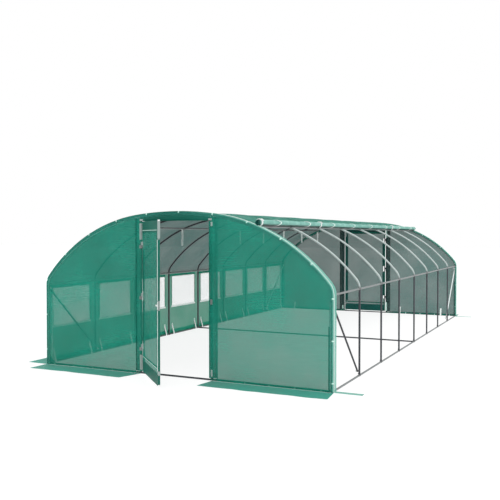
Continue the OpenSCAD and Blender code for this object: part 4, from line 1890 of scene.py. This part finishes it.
@dataclass
class TubeJoints(Part):
    """Collars, rings, saddles, bolts and brackets where the rails, hoops, posts and braces meet."""

    rail_r: float = 0.011
    lip: float = 0.0022

    def build(self) -> None:
        """Builds each kind of fitting and copies it to its places."""
        self._rail_collars()
        self._hoop_rings()
        self._saddles()
        self._bolts()
        self._header_brackets()

    def _rail_places(self) -> list[tuple[Vector, float]]:
        """Each rail's place across the tunnel, with the outward direction of the hoop there."""
        t = self.tunnel
        spots = [(t.arch(s), t.slope(s)) for s in (-t.eave_s, -t.purlin_s, 0.0, t.purlin_s, t.eave_s)]
        spots += [(Vector((side * t.leg_x, self.rail_r + 0.0016)), side * math.pi / 2) for side in (-1, 1)]
        return spots

    def _ring(self, radius: float, depth: float, lip: float) -> bpy.types.Object:
        """Makes a ring with a rolled lip at each end, round the Y axis.

        Args:
            radius: its outside radius.
            depth: how long it is.
            lip: how wide its end faces are cut back.

        Returns:
            The ring.
        """
        bpy.ops.mesh.primitive_cylinder_add(
            vertices=20, radius=radius, depth=depth, rotation=(math.pi / 2, 0, 0)
        )
        ring = settle(bpy.context.object)
        with editing(ring, lambda normal, centre: abs(normal.y) > 0.9):
            bpy.ops.mesh.inset(thickness=lip)
            bpy.ops.transform.resize(value=(1, 0.86, 1), center_override=(0, 0, 0))
        apply_modifier(ring, "BEVEL", width=lip * 0.4, segments=1, limit_method="ANGLE")
        return smooth(ring, 50)

    def _rail_collars(self) -> None:
        """Makes the collar at each end of each length of rail."""
        t = self.tunnel
        places = []
        for spot, _ in self._rail_places():
            for bay in range(t.bays):
                for y in (bay * t.bay + 0.032, (bay + 1) * t.bay - 0.032):
                    places.append(Matrix.Translation(t.at(spot.x, y, spot.y)))
        ring = self._ring(self.rail_r + 0.0016, 0.034, self.lip)
        self.keep(scatter(ring, places, "rail_collars"), self.finishes.fitting, "tube")

    def _hoop_rings(self) -> None:
        """Makes the swaged ring where two lengths of hoop tube meet."""
        t = self.tunnel
        places = []
        for hoop in range(1, t.bays):
            for s in (t.crown_s, t.side_s, t.eave_s + 0.055):
                for side in (-1, 1):
                    spot = t.arch(side * s)
                    turn = Matrix.Rotation(t.slope(side * s), 4, "Y") @ Matrix.Rotation(math.pi / 2, 4, "Z")
                    places.append(Matrix.Translation(t.at(spot.x, hoop * t.bay, spot.y)) @ turn)
        ring = self._ring(t.tube_r + 0.0013, 0.030, self.lip)
        self.keep(scatter(ring, places, "hoop_rings"), self.finishes.tube, "tube")

    def _saddles(self) -> None:
        """Makes the pressed saddle under each hoop where it crosses the rails."""
        t = self.tunnel
        bpy.ops.mesh.primitive_cylinder_add(
            vertices=32, radius=t.tube_r + 0.0024, depth=0.034, rotation=(0, math.pi / 2, 0)
        )
        saddle = settle(bpy.context.object)
        with editing(saddle, lambda normal, centre: True):
            bpy.ops.mesh.bisect(plane_co=(0, 0, 0.002), plane_no=(0, 0, 1), clear_outer=True, use_fill=True)
        with editing(saddle, lambda normal, centre: abs(normal.y) > 0.85 and centre.z > -0.004):
            bpy.ops.mesh.inset(thickness=0.001)
            bpy.ops.mesh.extrude_region_shrink_fatten(TRANSFORM_OT_shrink_fatten={"value": 0.007})
        apply_modifier(saddle, "BEVEL", width=0.0008, segments=1, limit_method="ANGLE")
        smooth(saddle, 50)
        places = []
        for hoop in range(1, t.bays):
            for spot, slope in self._rail_places()[:5]:
                places.append(
                    Matrix.Translation(t.at(spot.x, hoop * t.bay, spot.y)) @ Matrix.Rotation(slope, 4, "Y")
                )
        self.keep(scatter(saddle, places, "rail_saddles"), self.finishes.fitting, "tube")

    def _bolts(self) -> None:
        """Makes the bolt with its washer and domed nut at each crossing, inside the hoop."""
        t = self.tunnel
        bpy.ops.mesh.primitive_cylinder_add(vertices=6, radius=0.0062, depth=0.0052)
        head = bpy.context.object
        with editing(head, lambda normal, centre: normal.z > 0.9):
            bpy.ops.mesh.inset(thickness=0.0022)
            bpy.ops.mesh.extrude_region_move(TRANSFORM_OT_translate={"value": (0, 0, 0.0022)})
        with editing(head, lambda normal, centre: normal.z < -0.9):
            bpy.ops.mesh.extrude_region_move()
            bpy.ops.transform.resize(value=(1.35, 1.35, 1))
            bpy.ops.mesh.extrude_region_move(TRANSFORM_OT_translate={"value": (0, 0, -0.0014)})
        apply_modifier(head, "BEVEL", width=0.0005, segments=1)
        smooth(head, 35)
        places = []
        for hoop in range(1, t.bays):
            for spot, slope in self._rail_places()[:5]:
                inward = Matrix.Rotation(slope + math.pi, 4, "Y")
                places.append(
                    Matrix.Translation(
                        t.at(spot.x, hoop * t.bay, spot.y)
                    ) @ inward @ Matrix.Translation((0, 0, 0.0172))
                )
            for side in (-1, 1):
                turn = Matrix.Rotation(-side * math.pi / 2, 4, "Y")
                spot = t.at(side * t.leg_x, hoop * t.bay, 0.032)
                places.append(Matrix.Translation(spot) @ turn @ Matrix.Translation((0, 0, 0.0142)))
        self.keep(scatter(head, places, "crossing_bolts"), self.finishes.fitting, "fittings")

    def _header_brackets(self) -> None:
        """Makes the grey brackets of each header, and the pale boss of each brace at its leg."""
        t = self.tunnel
        bpy.ops.mesh.primitive_cube_add(size=1, scale=(0.046, 0.0045, 0.024))
        plate = settle(bpy.context.object)
        with editing(plate, lambda normal, centre: abs(normal.y) > 0.9):
            bpy.ops.mesh.inset(thickness=0.006)
            bpy.ops.transform.resize(value=(1, 0.55, 1), center_override=(0, 0, 0))
        apply_modifier(plate, "BEVEL", width=0.0010, segments=2)
        smooth(plate)
        places = []
        for side in (-1, 1):
            for y in (0.0148, -0.0182):
                places.append(Matrix.Translation(t.at(side * (t.post_x - 0.018), y, t.header_z)))
        front = scatter(plate, places, "front_header_brackets")
        for piece in (front, self.other_end(front, "rear_header_brackets")):
            self.keep(piece, self.finishes.wrap, "fittings")
        bpy.ops.mesh.primitive_cylinder_add(
            vertices=20, radius=0.017, depth=0.012, rotation=(0, math.pi / 2, 0)
        )
        boss = settle(bpy.context.object)
        with editing(boss, lambda normal, centre: abs(normal.x) > 0.9):
            bpy.ops.mesh.inset(thickness=0.004)
            bpy.ops.transform.resize(value=(1.3, 1, 1), center_override=(0, 0, 0))
        apply_modifier(boss, "BEVEL", width=0.0010, segments=2)
        smooth(boss)
        places = []
        for side in (-1, 1):
            for y, z in (
                (0.012, 1.016), (t.bay, 0.064), (t.length - 0.012, 1.016), (t.length - t.bay, 0.064)
            ):
                places.append(Matrix.Translation(t.at(side * (t.leg_x - 0.036), y, z)))
        self.keep(scatter(boss, places, "brace_bosses"), self.finishes.plastic, "fittings")


@dataclass
class BareFrame(Part):
    """The tubes, hinges and latches of the frame itself, which only need their finishes."""

    rails: tuple[str, ...] = (
        "ridge_tube",
        "left_purlin",
        "right_purlin",
        "left_eave_rail",
        "right_eave_rail",
        "left_base_rail",
        "right_base_rail",
    )

    def build(self) -> None:
        """Gives every node that still shows its material."""
        kinds = {name: self.finishes.rail for name in self.rails}
        kinds["corner_braces"] = self.finishes.brace
        for end in ("front", "rear"):
            kinds[f"{end}_door_latch"] = self.finishes.plastic
            kinds[f"{end}_hinge_posts"] = self.finishes.fitting
            kinds[f"{end}_doorway"] = self.finishes.post
            kinds[f"{end}_door_frame"] = self.finishes.post
        # The front door's frame takes a paler copy of the zinc than the rear one: painted light on the door
        # standing out in the light.
        kinds["front_door_frame"] = self.finishes.bright
        for name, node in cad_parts.items():
            if node.hide_render:
                continue
            material = kinds.get(name, self.finishes.tube)
            node.data.materials.clear()
            node.data.materials.append(material)
            LOG.info("dressed %s with %s", name, material.name)


# ---------------------------------------------------------------- studio


@dataclass
class Studio:
    """The camera, a soft white surround, one broad light and a pale floor."""

    tunnel: Tunnel
    lens: float = 50.31
    tilt: float = -0.021
    turn: float = 0.447
    surround: float = 1.0
    light: float = 1.1
    floor_glow: float = 0.83

    def build(self) -> None:
        """Builds the studio."""
        scene = bpy.context.scene
        scene.view_settings.view_transform = "Standard"
        camera = bpy.data.objects.new("camera", bpy.data.cameras.new("camera"))
        camera.location = self.tunnel.at(4.445, -7.201, 1.712)
        camera.rotation_euler = (math.pi / 2 + self.tilt, 0, self.turn)
        camera.data.lens = self.lens
        scene.collection.objects.link(camera)
        scene.camera = camera
        world = bpy.data.worlds.new("surround")
        world.use_nodes = True
        background = world.node_tree.nodes["Background"]
        background.inputs["Color"].default_value = (1, 1, 1, 1)
        background.inputs["Strength"].default_value = self.surround
        scene.world = world
        lamp = bpy.data.objects.new("broad_light", bpy.data.lights.new("broad_light", "SUN"))
        lamp.data.energy = self.light
        lamp.data.angle = math.radians(70)
        lamp.rotation_euler = (math.radians(38), math.radians(18), math.radians(30))
        scene.collection.objects.link(lamp)
        self._floor()

    def _floor(self) -> None:
        """Makes the floor, a pale lit table."""
        bpy.ops.mesh.primitive_plane_add(size=160, location=(0, 0, -0.001))
        floor = bpy.context.object
        floor.name = "floor"
        nodes = Nodes("pale_floor")
        place = nodes.place()
        tone = nodes.spread(nodes.noise(place, 0.6), 0.0, 1.0)
        floor.data.materials.append(
            nodes.dress(
                Base_Color=nodes.blend(tone, (0.21, 0.21, 0.21), (0.23, 0.23, 0.23)),
                Roughness=0.95,
                Specular_IOR_Level=0.1,
                Emission_Color=(1, 1, 1, 1),
                Emission_Strength=self.floor_glow,
            )
        )


def main() -> None:
    """Builds the studio and every part of the tunnel, and reports the pieces."""
    tunnel = Tunnel()
    finishes = Finishes()
    Studio(tunnel).build()
    parts: list[Part] = [
        MainSheet(tunnel, finishes),
        EndWalls(tunnel, finishes),
        CornerStrips(tunnel, finishes),
        Skirts(tunnel, finishes),
        SideRoll(tunnel, finishes),
        Straps(tunnel, finishes),
        Door(tunnel, finishes, end="front"),
        Door(tunnel, finishes, end="rear"),
        TubeJoints(tunnel, finishes),
        BareFrame(tunnel, finishes),
    ]
    for part in parts:
        part.build()
        for piece in part.pieces:
            LOG.info("%s: %s, %d faces", type(part).__name__, piece.name, len(piece.data.polygons))


if __name__ == "__main__":
    logging.basicConfig(level=logging.INFO, format="%(name)s: %(message)s")
    main()
